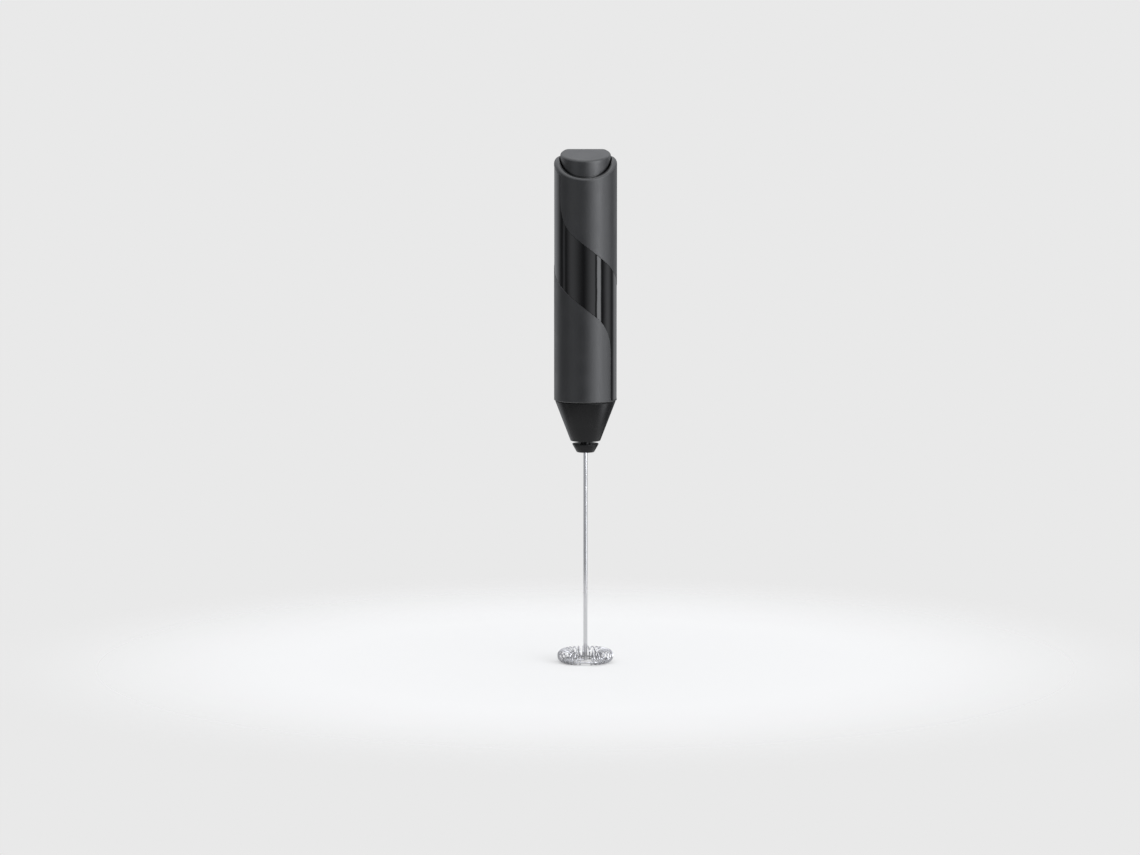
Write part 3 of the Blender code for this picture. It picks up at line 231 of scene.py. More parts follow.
# %% [markdown]
# ### The metals
#
# The shaft and the whisk are bright-drawn stainless steel. Drawing leaves fine lines along the wire, so its
# bump is stretched along the shaft by a Mapping node. The whisk's spring wire is harder and a shade darker,
# as it comes off the coiling machine. The motor's can is zinc-plated sheet, whose crystals are a few tenths
# of a millimetre across; the contacts are nickel on spring steel, warmer than the stainless; the bushes are
# sintered bronze, and the windings are copper under clear enamel.

# %% Metals
stainless = surface(
    "bright_drawn_stainless", "#c9c9cb", 0.16, 0.4 * MM, 0.04, metallic=1.0, spread=0.05, patch=2 * MM
)
wire_tree = stainless.node_tree
draw_lines = next(n for n in wire_tree.nodes if n.type == "BUMP")
wire_place = add(wire_tree, "ShaderNodeTexCoord").outputs["Object"]
stretched = add(wire_tree, "ShaderNodeMapping", {"Vector": wire_place, "Scale": (1.0, 1.0, 0.02)})
links = {"Vector": stretched.outputs["Vector"], "Scale": 1 / (0.25 * MM)}
lines = add(wire_tree, "ShaderNodeTexNoise", links)
wire_tree.links.new(lines.outputs["Fac"], draw_lines.inputs["Height"])

whisk_wire = surface(
    "whisk_wire_steel", "#bcbcbe", 0.13, 0.5 * MM, 0.03, metallic=1.0, spread=0.04, patch=3 * MM
)
tint(whisk_wire, "#b6b6b9", "#c2c2c4", 2 * MM)
zinc = surface(
    "zinc_plated_steel", "#a9acb1", 0.33, 0.5 * MM, 0.10, metallic=1.0, spread=0.08, patch=0.8 * MM
)
tint(zinc, "#a1a5ab", "#b2b5b8", 1.2 * MM)
nickel = surface("nickel_plated_spring_steel", "#b9b3a8", 0.24, 0.6 * MM, 0.06, metallic=1.0)
tint(nickel, "#b4ada1", "#bfbab0", 2 * MM)
bronze = surface("sintered_bronze", "#9b7440", 0.45, 0.3 * MM, 0.35, metallic=1.0)
tint(bronze, "#8f6a39", "#a67d48", 0.7 * MM)
copper = surface("enamelled_copper", "#b8693c", 0.30, 0.35 * MM, 0.25, metallic=1.0, Coat_Weight=0.4)
tint(copper, "#ac5f34", "#c27444", 0.9 * MM)
print("metals made:", [m.name for m in (stainless, whisk_wire, zinc, nickel, bronze, copper)])

# %% [markdown]
# ### The cells' printed sleeve
#
# A dry cell wears a thin shrunk sleeve, printed and glossy. A plain sleeve needs only two colour fields: a
# dark green body and a pale copper shoulder at the end with the raised contact. The border is a hard step
# in height. The two cells stand opposite ways up, so each has its own copy with its own height for the
# border.


# %% Printed sleeve
def sleeve(name, border, shoulder_above):
    """A sleeve that changes colour at a height, with the shoulder colour above or below it."""
    made = surface(name, "#17442c", 0.22, 1.5 * MM, 0.03, ior=1.55, Coat_Weight=0.3)
    tree = made.node_tree
    place = add(tree, "ShaderNodeTexCoord").outputs["Object"]
    height = add(tree, "ShaderNodeSeparateXYZ", {"Vector": place}).outputs["Z"]
    side = maths(tree, "GREATER_THAN" if shoulder_above else "LESS_THAN", height, border)
    fields = add(
        tree,
        "ShaderNodeMix",
        {"Factor": side, "A": colour("#17442c"), "B": colour("#b98a52")},
        data_type="RGBA",
    )
    tree.links.new(fields.outputs["Result"], tree.nodes["Principled BSDF"].inputs["Base Color"])
    return made


# %% [markdown]
# ## Turning pieces on a lathe
#
# Almost every piece of a frother is round about one axis, so most of them are made as a lathe makes them:
# an outline of (radius, height) points, turned about Z. The mechanical model does this with few steps to
# stay light; here the steps are fine enough for a mirror finish. Points on the axis become one shared
# point, so the ends close without a pinched ring. A piece can be given flats, as on a motor's can: points
# that lie past the flat are pressed back to it.


# %% Lathe
def new_piece(name, bm, *finishes):
    """Turns a bmesh into an object with outward faces, smooth rounds and sharp corners."""
    bmesh.ops.recalc_face_normals(bm, faces=bm.faces[:])
    if bm.calc_volume(signed=True) < 0:
        bmesh.ops.reverse_faces(bm, faces=bm.faces[:])
    mesh = bpy.data.meshes.new(name)
    bm.to_mesh(mesh)
    bm.free()
    mesh.shade_smooth()
    mesh.set_sharp_from_angle(angle=math.radians(32))
    for finish in finishes:
        mesh.materials.append(finish)
    piece = bpy.data.objects.new(name, mesh)
    bpy.context.scene.collection.objects.link(piece)
    return piece


def lathe(outline, steps, flat=None, at=(0, 0)):
    """A bmesh of a closed outline turned about an upright axis at a place."""
    bm = bmesh.new()
    rings = []
    for radius, z in outline:
        if radius < 1e-9:
            rings.append([bm.verts.new((0, 0, z))] * steps)
            continue
        ring = []
        for k in range(steps):
            turn = math.tau * k / steps
            x, y = radius * math.cos(turn), radius * math.sin(turn)
            if flat is not None:
                y = max(-flat, min(flat, y))
            ring.append(bm.verts.new((x, y, z)))
        rings.append(ring)
    for one, two in zip(rings, rings[1:] + rings[:1]):
        for k in range(steps):
            after = (k + 1) % steps
            corners = []
            for vert in (one[k], one[after], two[after], two[k]):
                if vert not in corners:
                    corners.append(vert)
            if len(corners) > 2:
                bm.faces.new(corners)
    bmesh.ops.translate(bm, verts=bm.verts[:], vec=(at[0], at[1], 0))
    return bm


def rounded(outline, corner, radius, steps=4):
    """The outline with one of its corners, given by number, rounded to a radius."""
    here = Vector(outline[corner])
    before = (Vector(outline[corner - 1]) - here).normalized()
    after = (Vector(outline[(corner + 1) % len(outline)]) - here).normalized()
    half = before.angle(after) / 2
    reach = radius / math.tan(half)
    centre = here + (before + after).normalized() * radius / math.sin(half)
    start = here + before * reach - centre
    turn = start.angle_signed(here + after * reach - centre)
    arc = []
    for i in range(steps + 1):
        angle = -turn * i / steps
        c, s = math.cos(angle), math.sin(angle)
        arc.append((centre.x + c * start.x - s * start.y, centre.y + s * start.x + c * start.y))
    return outline[:corner] + arc + outline[corner + 1 :]


def stand_for(piece, body, slot, *nodes):
    """The piece rides on a body and takes the place of these nodes. The slot is not used."""
    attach(piece, body)
    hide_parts(*nodes)
    print(piece.name, "has", len(piece.data.polygons), "faces and rides on", body)


# %% [markdown]
# ## Sizes that the fine pieces share with the frame
#
# Heights and radii that can be read off the frame are read off it. What can't be measured from a box, such
# as a lip's width or a slope, is named here with the same value as in the mechanical model.

# %% Sizes of the barrel
barrel_low, barrel_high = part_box("barrel_shell")
BARREL_R = barrel_high.x
BARREL_Z = barrel_low.z
RIM_RISE = 1.5 * MM
RIM_Z = barrel_high.z - RIM_RISE
BARREL_WALL = 1.8 * MM
BORE_R = BARREL_R - BARREL_WALL
BARREL_CHAMFER = 0.35 * MM
guide_low, guide_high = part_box("button_guide")
MOUTH_R = guide_high.x + 0.1 * MM
RIM_LIP = 2.2 * MM
RIM_LIP_WIDTH = BARREL_R - MOUTH_R - 0.15 * MM
RIM_STEP = 0.3 * MM
RIM_DIP_INNER = 8.7 * MM
RIM_DIP_OUTER = 7.6 * MM
RIM_BLEND = 0.3
GUIDE_Z, GUIDE_TOP_Z = guide_low.z, guide_high.z
LEDGE_TOP_Z = GUIDE_Z - 0.1 * MM
LEDGE_HEIGHT = 1.5 * MM
LEDGE_R = MOUTH_R - 0.9 * MM
FINE = 192
print("barrel from and to, and its mouth, in mm:", [round(s / MM, 1) for s in (BARREL_Z, RIM_Z, 2 * MOUTH_R)])

# %% [markdown]
# ## The barrel
#
# The barrel is one tube whose rim dips towards the front, like the slant of a quill. The lip is rounded on
# its outside. Inside the rim the bore opens into a mouth, as wide as the button needs, with a ledge under
# it for the plate that guides the button's stem. The outline is turned like any other, and then each point
# near the rim is let down by an amount that depends on how far it lies to the front.


# %% The barrel's blank
def dip(sine):
    """The share of the rim's dip at an angle with this sine: -1 at the front, 0 behind the sides."""
    if sine < -RIM_BLEND:
        return sine
    if sine > RIM_BLEND:
        return 0.0
    return -((sine - RIM_BLEND) ** 2) / (4 * RIM_BLEND)


def rim_drop(radius, sine):
    """How far the rim lies below its height at the sides."""
    share = (radius - MOUTH_R) / (BARREL_R - MOUTH_R)
    depth = RIM_DIP_INNER + share * (RIM_DIP_OUTER - RIM_DIP_INNER)
    return -dip(sine) * depth - max(sine, 0) * RIM_RISE


def barrel_blank():
    """A bmesh of the barrel before the band's recess is cut."""
    outline = [
        (BORE_R, BARREL_Z + 0.3 * MM),
        (BORE_R + 0.3 * MM, BARREL_Z),
        (BARREL_R - BARREL_CHAMFER, BARREL_Z),
        (BARREL_R - 0.1 * MM, BARREL_Z + BARREL_CHAMFER - 0.15 * MM),
        (BARREL_R, BARREL_Z + BARREL_CHAMFER),
    ]
    for i in range(11):
        turn = math.pi / 2 * i / 10
        radius = BARREL_R - RIM_LIP_WIDTH * (1 - math.cos(turn))
        outline.append((radius, RIM_Z - RIM_LIP * (1 - math.sin(turn))))
    outline += [
        (MOUTH_R, RIM_Z - RIM_STEP),
        (MOUTH_R, LEDGE_TOP_Z),
        (LEDGE_R, LEDGE_TOP_Z),
        (LEDGE_R, LEDGE_TOP_Z - LEDGE_HEIGHT),
        (BORE_R, LEDGE_TOP_Z - LEDGE_HEIGHT - (BORE_R - LEDGE_R) / 2),
    ]
    bm = lathe(outline, FINE)
    for vert in bm.verts:
        if vert.co.z > LEDGE_TOP_Z + RIM_LIP:
            radius = math.hypot(vert.co.x, vert.co.y)
            vert.co.z -= rim_drop(radius, vert.co.y / radius)
    return bm


barrel = new_piece("barrel", barrel_blank(), soft_touch)

# %% [markdown]
# ## The glossy band
#
# The band is a separate polished inlay. It is easiest to draw flat, as paper before it is wrapped on a can:
# a strip of one width that comes down the left side, bends, crosses the front on a slant, bends back and
# goes on down the right side. One half is the other turned half a turn about the middle. The flat outline
# is cut into upright strips, so that it can bend, and wrapped round the barrel.
#
# The same outline, grown by a hair, cuts the recess in the barrel, and what is left between the two is the
# thin dark joint line that a real inlay has.

# %% Sizes of the band
BAND_WIDTH = 22.0 * MM
BAND_TURN = math.radians(52.4)
BAND_INNER_BEND_R = 20.0 * MM
BAND_EDGE_ANGLE = math.radians(53.3)
BAND_MIDDLE_Z = BARREL_Z + 55.8 * MM
BAND_THICK = 0.5 * MM
BAND_PROUD = -0.12 * MM
BAND_GAP = 0.12 * MM
BAND_END = 0.9 * MM
BAND_FOOT = 0.4 * MM


def arc(centre, radius, start, end, steps):
    """Points of an arc in the flat plane, from angle start to angle end."""
    turns = [start + (end - start) * i / steps for i in range(steps + 1)]
    return [(centre[0] + radius * math.cos(turn), centre[1] + radius * math.sin(turn)) for turn in turns]


def band_outline(grow):
    """The band laid flat as (distance round the barrel from the front, height), grown by a gap."""
    inner_edge = BARREL_R * BAND_EDGE_ANGLE
    outer_edge = inner_edge + BAND_WIDTH
    climb = math.tan(math.pi / 2 - BAND_TURN)
    bend_x = -inner_edge + BAND_INNER_BEND_R
    bend_z = BAND_WIDTH / 2 / math.sin(BAND_TURN) + climb * inner_edge
    bend_z += BAND_INNER_BEND_R * math.tan(BAND_TURN / 2)
    foot = arc((bend_x, bend_z), BAND_INNER_BEND_R - grow, math.pi, math.pi + BAND_TURN, 24)
    heel = arc((bend_x, bend_z), BAND_INNER_BEND_R + BAND_WIDTH + grow, math.pi + BAND_TURN, math.pi, 32)
    top = []
    for i in range(13):
        x = -outer_edge - grow + (BAND_WIDTH + 2 * grow) * i / 12
        edge = RIM_Z - RIM_LIP - rim_drop(BARREL_R, math.sin(x / BARREL_R - math.pi / 2)) - BAND_END + grow
        top.append((x, edge - BAND_MIDDLE_Z))
    bottom = BARREL_Z + BARREL_CHAMFER + BAND_FOOT - grow - BAND_MIDDLE_Z
    outline = top + foot + [(-x, -z) for x, z in heel]
    outline += [(outer_edge + grow, bottom), (inner_edge - grow, bottom)]
    outline += [(-x, -z) for x, z in foot] + heel
    return [(x, BAND_MIDDLE_Z + z) for x, z in outline]


# %% Wrapping a flat outline round the barrel
def wrapped(name, outline, inner_r, outer_r, finish):
    """A flat outline wrapped round the Z axis, from one radius out to another."""
    bm = bmesh.new()
    bm.faces.new([bm.verts.new((x / BARREL_R, 0, z)) for x, z in outline])
    facet = math.tau / FINE
    for k in range(-FINE // 2, FINE // 2):
        parts = bm.verts[:] + bm.edges[:] + bm.faces[:]
        bmesh.ops.bisect_plane(bm, geom=parts, dist=1e-9, plane_co=(k * facet, 0, 0), plane_no=(1, 0, 0))
    grown = bmesh.ops.extrude_face_region(bm, geom=bm.faces[:], use_keep_orig=True)
    raised = {item for item in grown["geom"] if isinstance(item, bmesh.types.BMVert)}
    for vert in bm.verts:
        radius = outer_r if vert in raised else inner_r
        turn = vert.co.x - math.pi / 2
        vert.co = (radius * math.cos(turn), radius * math.sin(turn), vert.co.z)
    return new_piece(name, bm, finish)


def settle(piece):
    """Makes the piece's modifiers part of its mesh."""
    seen = piece.evaluated_get(bpy.context.evaluated_depsgraph_get())
    mesh = bpy.data.meshes.new_from_object(seen)
    mesh.name = piece.name
    piece.modifiers.clear()
    piece.data = mesh
    return piece


def combine(piece, helper, operation):
    """Cuts a helper shape out of a piece, or joins it on, and removes the helper."""
    modifier = piece.modifiers.new(operation, "BOOLEAN")
    modifier.operation = operation
    modifier.object = helper
    modifier.solver = "EXACT"
    settle(piece)
    bpy.data.objects.remove(helper)
    return piece


face_r = BARREL_R + BAND_PROUD
band = wrapped("band", band_outline(0.0), face_r - BAND_THICK, face_r, piano_black)
recess_r = face_r - BAND_THICK - 0.1 * MM
recess = wrapped("band_recess", band_outline(BAND_GAP), recess_r, BARREL_R + MM, soft_touch)
combine(barrel, recess, "DIFFERENCE")
print("barrel faces after the cut:", len(barrel.data.polygons))

# %% [markdown]
# ### Shading a round wall exactly
#
# Where the recess's edge crosses the barrel's narrow facets, it leaves faces of many shapes, and averaged
# normals would ripple in the reflections. On a true cylinder the normal is known: it points straight away
# from the axis. So every corner of a face that belongs to such a wall is given exactly that normal. The
# band's edge is softened first by a small bevel, which catches light as the real moulding's edge does.


# %% Exact normals on the barrel and the band
def true_round(piece, radius):
    """Gives the corners of the upright round wall of this radius the cylinder's own normals."""
    mesh = piece.data
    normals = [Vector(corner.vector) for corner in mesh.corner_normals]
    for face in mesh.polygons:
        away = Vector((face.center.x, face.center.y, 0))
        if abs(away.length - radius) > 0.02 * MM or face.normal.dot(away.normalized()) < 0.99:
            continue
        for corner in face.loop_indices:
            place = mesh.vertices[mesh.loops[corner].vertex_index].co
            normals[corner] = Vector((place.x, place.y, 0)).normalized()
    mesh.normals_split_custom_set(normals)


edge = band.modifiers.new("soft edge", "BEVEL")
edge.width = 0.16 * MM
edge.segments = 2
edge.limit_method = "ANGLE"
edge.angle_limit = math.radians(60)
settle(band)
true_round(band, face_r)
true_round(barrel, BARREL_R)
stand_for(barrel, "grip", "soft_touch", "barrel_shell")
stand_for(band, "grip", "piano_black", "gloss_band")

# %% [markdown]
# ## The button
#
# The button is a short lacquered cylinder cut by a slope for the thumb, with a crest near its back, from
# where it falls away again. It is turned as a flat-topped cap with a rounded edge, and then each point of
# the top is lowered to the crown's height at its place, so the edge keeps its rounding all the way round.
# Lower on the side it steps in a little, and the step follows the barrel's rim just above it, so that a
# line of shadow lies between the two. Inside are the skirt, the seat for the spring and the stem that
# reaches down to the switch.

# %% The button
button_low, button_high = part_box("button_cap")
BUTTON_R = button_high.x
STEM_R = 2.35 * MM
STEM_Z = button_low.z
CREST_Z = GUIDE_TOP_Z + 15.0 * MM
CREST_Y = 7.0 * MM
THUMB_SLOPE = 0.235
BACK_SLOPE = 0.3
CREST_BLEND = 1.2 * MM
BUTTON_EDGE = 1.0 * MM
BUTTON_WALL = 1.4 * MM
BUTTON_FOOT_R = BUTTON_R - 0.6 * MM
STEP_Z = CREST_Z - 3.5 * MM
SHADOW_LINE = 0.9 * MM
SKIRT_Z = GUIDE_TOP_Z + 2.0 * MM
SPRING_SEAT_R = 4.6 * MM
SPRING_SEAT_Z = GUIDE_TOP_Z + 6.5 * MM
clip_low, clip_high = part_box("button_clip")
CLIP_GROOVE_R = 1.6 * MM


def crown(y):
    """Height of the button's top: a flat slope that rolls over to the back at its crest."""
    along = y - CREST_Y
    if along < -CREST_BLEND:
        return CREST_Z + THUMB_SLOPE * along
    if along > CREST_BLEND:
        return CREST_Z - BACK_SLOPE * along
    share = (along + CREST_BLEND) / (2 * CREST_BLEND)
    slope = THUMB_SLOPE - (THUMB_SLOPE + BACK_SLOPE) * share
    return CREST_Z - THUMB_SLOPE * CREST_BLEND + (THUMB_SLOPE + slope) / 2 * (along + CREST_BLEND)


flat_r = BUTTON_R - BUTTON_EDGE
outline = [(flat_r * i / 24, CREST_Z) for i in range(24)]
for i in range(9):
    turn = math.pi / 2 * (1 - i / 8)
    outline.append((flat_r + BUTTON_EDGE * math.cos(turn), CREST_Z - BUTTON_EDGE * (1 - math.sin(turn))))
outline += [(BUTTON_R, STEP_Z), (BUTTON_FOOT_R, STEP_Z), (BUTTON_FOOT_R, SKIRT_Z)]
outline += [(BUTTON_R - BUTTON_WALL, SKIRT_Z), (BUTTON_R - BUTTON_WALL, CREST_Z - BUTTON_WALL)]
outline += [(SPRING_SEAT_R, CREST_Z - BUTTON_WALL), (SPRING_SEAT_R, SPRING_SEAT_Z), (STEM_R, SPRING_SEAT_Z)]
outline += [(STEM_R, clip_high.z + 0.1 * MM), (CLIP_GROOVE_R, clip_high.z + 0.1 * MM)]
outline += [(CLIP_GROOVE_R, clip_low.z - 0.1 * MM), (STEM_R, clip_low.z - 0.1 * MM)]
outline += [(STEM_R, STEM_Z + 0.3 * MM), (STEM_R - 0.3 * MM, STEM_Z), (0, STEM_Z)]
bm = lathe(outline, 160)
for vert in bm.verts:
    radius = math.hypot(vert.co.x, vert.co.y)
    if vert.co.z > CREST_Z - 2 * BUTTON_WALL:
        vert.co.z += crown(vert.co.y) - CREST_Z
    elif radius > BUTTON_FOOT_R - 0.1 * MM and vert.co.z > STEP_Z - 0.1 * MM:
        over_rim = RIM_Z - rim_drop(MOUTH_R, vert.co.y / radius) + SHADOW_LINE
        vert.co.z = min(over_rim, crown(vert.co.y) - BUTTON_EDGE - 0.3 * MM)
stand_for(new_piece("button", bm, soft_touch), "button", "soft_touch", "button_cap")

# %% [markdown]
# ## The nose and the collar
#
# Under the barrel the nose narrows to the spindle, and a small plastic collar, which turns with the whisk,
# hides the hole. Both are turned. Above the cone the nose goes on as a thin spigot inside the barrel, with
# a groove for a rubber ring, and two screws through it hold the inner frame. The pockets for the screws'
# heads are cut across the axis.

# %% The nose
nose_low, nose_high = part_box("nose_cone")
NOSE_Z = nose_low.z
NOSE_TOP_Z = NOSE_Z + 17.9 * MM
NOSE_TOP_R = nose_high.x
NOSE_FOOT_R = 6.6 * MM
SPIGOT_TOP_Z = nose_high.z
SPIGOT_R = 11.9 * MM
SPIGOT_BORE_R = 10.6 * MM
NOSE_FLOOR = 2.0 * MM
NECK_R = 2.5 * MM
SEAL_Z = NOSE_TOP_Z + 2.1 * MM
SEAL_GROOVE_R = BORE_R - 1.05 * MM
GROOVE_HALF = 0.55 * MM
NOSE_SCREW_Z = NOSE_TOP_Z + 5.7 * MM
SCREW_HOLE_R = 1.2 * MM
SCREW_POCKET_R = 2.0 * MM
SCREW_POCKET = 0.9 * MM
frame_low, frame_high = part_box("inner_frame")


def cone_r(z):
    """Outer radius of the nose cone at a height."""
    return NOSE_FOOT_R + (NOSE_TOP_R - NOSE_FOOT_R) * (z - NOSE_Z) / (NOSE_TOP_Z - NOSE_Z)


cavity_z = NOSE_Z + NOSE_FLOOR
outline = [
    (NECK_R + 0.3 * MM, NOSE_Z),
    (NOSE_FOOT_R, NOSE_Z),
    (NOSE_TOP_R, NOSE_TOP_Z),
    (SPIGOT_R, NOSE_TOP_Z),
    (SPIGOT_R, SEAL_Z - GROOVE_HALF),
    (SEAL_GROOVE_R, SEAL_Z - GROOVE_HALF),
    (SEAL_GROOVE_R, SEAL_Z + GROOVE_HALF),
    (SPIGOT_R, SEAL_Z + GROOVE_HALF),
    (SPIGOT_R, SPIGOT_TOP_Z),
    (SPIGOT_BORE_R, SPIGOT_TOP_Z),
    (SPIGOT_BORE_R, frame_low.z - 0.3 * MM),
    (cone_r(cavity_z) - BARREL_WALL, cavity_z),
    (NECK_R + 0.3 * MM, cavity_z),
]
outline = rounded(outline, 8, 0.3 * MM)
outline = rounded(outline, 2, 0.2 * MM)
outline = rounded(outline, 1, 0.45 * MM)
nose = new_piece("nose", lathe(outline, 128), nose_plastic)


def across(outline, sign):
    """A bmesh turned about the Y axis at the screws' height, pointing to the front or the back."""
    bm = lathe(outline, 48)
    for vert in bm.verts:
        vert.co = (vert.co.x, sign * vert.co.z, NOSE_SCREW_Z + vert.co.y)
    return bm


for sign in (-1, 1):
    for name, radius, start in (
        ("screw_hole", SCREW_HOLE_R, SPIGOT_BORE_R - MM),
        ("screw_pocket", SCREW_POCKET_R, SPIGOT_R - SCREW_POCKET),
    ):
        drill = [(0, start), (radius, start), (radius, BARREL_R), (0, BARREL_R)]
        combine(nose, new_piece(name, across(drill, sign), nose_plastic), "DIFFERENCE")
stand_for(nose, "chassis", "nose_plastic", "nose_cone")

# %% The collar and the shaft's lip seal
collar_low, hub_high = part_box("spindle_hub")
COLLAR_Z = collar_low.z
COLLAR_TOP_Z = COLLAR_Z + 3.9 * MM
COLLAR_R = hub_high.x
COLLAR_FOOT_R = 3.85 * MM
SHAFT_R = 0.9 * MM
MOTOR_SHAFT_R = 1.0 * MM
FIT = 0.05 * MM
GRIP_TOP_Z = COLLAR_Z + 8.0 * MM
MOTOR_GRIP_Z = GRIP_TOP_Z + 1.6 * MM
outline = [
    (SHAFT_R + FIT, COLLAR_Z),
    (COLLAR_FOOT_R, COLLAR_Z),
    (COLLAR_R, COLLAR_TOP_Z - 0.4 * MM),
    (COLLAR_R, COLLAR_TOP_Z),
    (NECK_R, COLLAR_TOP_Z),
    (NECK_R, hub_high.z),
    (MOTOR_SHAFT_R + FIT, hub_high.z),
    (MOTOR_SHAFT_R + FIT, MOTOR_GRIP_Z),
    (0, MOTOR_GRIP_Z),
    (0, GRIP_TOP_Z),
    (SHAFT_R + FIT, GRIP_TOP_Z),
]
outline = rounded(outline, 3, 0.15 * MM)
outline = rounded(outline, 1, 0.5 * MM)
stand_for(new_piece("collar", lathe(outline, 96), nose_plastic), "spindle", "nose_plastic", "spindle_hub")

lip_low, lip_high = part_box("shaft_seal")
lip_r = lip_high.x
bore = NECK_R + 0.1 * MM
outline = [(bore, lip_low.z), (lip_r, lip_low.z), (lip_r, lip_high.z), (bore + MM, lip_high.z)]
outline += [(bore, lip_low.z + 0.3 * MM)]
outline = rounded(outline, 2, 0.3 * MM)
stand_for(new_piece("shaft_lip_seal", lathe(outline, 64), rubber), "chassis", "rubber", "shaft_seal")

# %% [markdown]
# ## Wires, made by Geometry Nodes
#
# The whisk, the springs and the leads are all wire that follows a rule. Geometry Nodes suit them: a line of
# points is made, each point is moved by a formula that reads its number, and a round profile is swept
# along. The first tree is the whisk's coil, a small circle that walks round a larger one. A point starts
# beside the origin, is turned about Y to its place on the small circle, is pushed out to the ring, and is
# turned about Z to its place round the ring.


# %% A tree with named sizes
def size_tree(name, sizes, source=False):
    """An empty geometry tree whose inputs are the named sizes, and its node that gives them."""
    tree = bpy.data.node_groups.new(name, "GeometryNodeTree")
    if source:
        tree.interface.new_socket("Geometry", in_out="INPUT", socket_type="NodeSocketGeometry")
    for size in sizes:
        tree.interface.new_socket(size, in_out="INPUT", socket_type="NodeSocketFloat")
    tree.interface.new_socket("Finish", in_out="INPUT", socket_type="NodeSocketMaterial")
    tree.interface.new_socket("Geometry", in_out="OUTPUT", socket_type="NodeSocketGeometry")
    return tree, add(tree, "NodeGroupInput").outputs


def end_with_wire(tree, given, curve, sides):
    """Sweeps a round profile along a curve, and ends the tree with real geometry and its material."""
    links = {"Resolution": sides, "Radius": given["Wire radius"]}
    profile = add(tree, "GeometryNodeCurvePrimitiveCircle", links)
    links = {"Curve": curve, "Profile Curve": profile.outputs["Curve"], "Fill Caps": True}
    wire = add(tree, "GeometryNodeCurveToMesh", links)
    real = add(tree, "GeometryNodeRealizeInstances", {"Geometry": wire.outputs["Mesh"]})
    smooth = add(tree, "GeometryNodeSetShadeSmooth", {"Geometry": real.outputs["Geometry"]})
    links = {"Geometry": smooth.outputs["Geometry"], "Material": given["Finish"]}
    coated = add(tree, "GeometryNodeSetMaterial", links)
    add(tree, "NodeGroupOutput", {"Geometry": coated.outputs["Geometry"]})
    return tree


# %% The tree for the whisk's coil
def toroid_tree():
    """A wire coiled round a ring, with an opening at the front."""
    sizes = ["Ring radius", "Loop radius", "Wire radius", "Height", "Turns", "Opening", "Steps"]
    tree, given = size_tree("coil_round_a_ring", sizes)
    count = maths(tree, "MULTIPLY", given["Turns"], given["Steps"])
    line = add(tree, "GeometryNodeMeshLine", {"Count": maths(tree, "ADD", count, 1.0)})
    number = add(tree, "GeometryNodeInputIndex").outputs[0]
    turns = maths(tree, "DIVIDE", number, given["Steps"])
    share = maths(tree, "DIVIDE", number, count)
    small = maths(tree, "MULTIPLY_ADD", turns, -math.tau, math.pi / 2)
    gap = maths(tree, "DIVIDE", given["Opening"], given["Ring radius"])
    sweep = maths(tree, "SUBTRACT", math.tau, gap)
    start = maths(tree, "MULTIPLY_ADD", gap, 0.5, -math.pi / 2)
    large = maths(tree, "MULTIPLY_ADD", share, sweep, start)
    arm = add(tree, "ShaderNodeCombineXYZ", {"X": given["Loop radius"]}).outputs[0]
    links = {"Vector": arm, "Angle": small}
    on_loop = add(tree, "ShaderNodeVectorRotate", links, rotation_type="Y_AXIS").outputs[0]
    out = add(tree, "ShaderNodeCombineXYZ", {"X": given["Ring radius"], "Z": given["Height"]}).outputs[0]
    pushed = add(tree, "ShaderNodeVectorMath", {0: on_loop, 1: out}, operation="ADD").outputs[0]
    links = {"Vector": pushed, "Angle": large}
    on_ring = add(tree, "ShaderNodeVectorRotate", links, rotation_type="Z_AXIS").outputs[0]
    links = {"Geometry": line.outputs["Mesh"], "Position": on_ring}
    placed = add(tree, "GeometryNodeSetPosition", links)
    curve = add(tree, "GeometryNodeMeshToCurve", {"Mesh": placed.outputs["Geometry"]}).outputs["Curve"]
    return end_with_wire(tree, given, curve, 8)


def grown(name, tree, finish, sizes, source=None):
    """Runs a tree with these sizes and returns its result as a plain mesh object."""
    mesh = source or bpy.data.meshes.new(name)
    piece = bpy.data.objects.new(name, mesh)
    bpy.context.scene.collection.objects.link(piece)
    modifier = piece.modifiers.new("rule", "NODES")
    modifier.node_group = tree
    for socket in tree.interface.items_tree:
        if socket.in_out == "INPUT" and socket.name in sizes:
            modifier[socket.identifier] = float(sizes[socket.name])
        elif socket.in_out == "INPUT" and socket.name == "Finish":
            modifier[socket.identifier] = finish
    return settle(piece)


# %% The whisk's coil
coil_low, coil_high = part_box("whisk_coil")
WHISK_RING_R = 9.75 * MM
WHISK_TUBE_R = 2.9 * MM
COIL_WIRE_R = 0.3 * MM
COIL_TURNS = 28
COIL_OPENING = 5.0 * MM
sizes = {
    "Ring radius": WHISK_RING_R,
    "Loop radius": WHISK_TUBE_R - COIL_WIRE_R,
    "Wire radius": COIL_WIRE_R,
    "Height": coil_low.z + WHISK_TUBE_R,
    "Turns": COIL_TURNS,
    "Opening": COIL_OPENING,
    "Steps": 40,
}
coil = grown("coil", toroid_tree(), whisk_wire, sizes)
stand_for(coil, "spindle", "stainless", "whisk_coil")
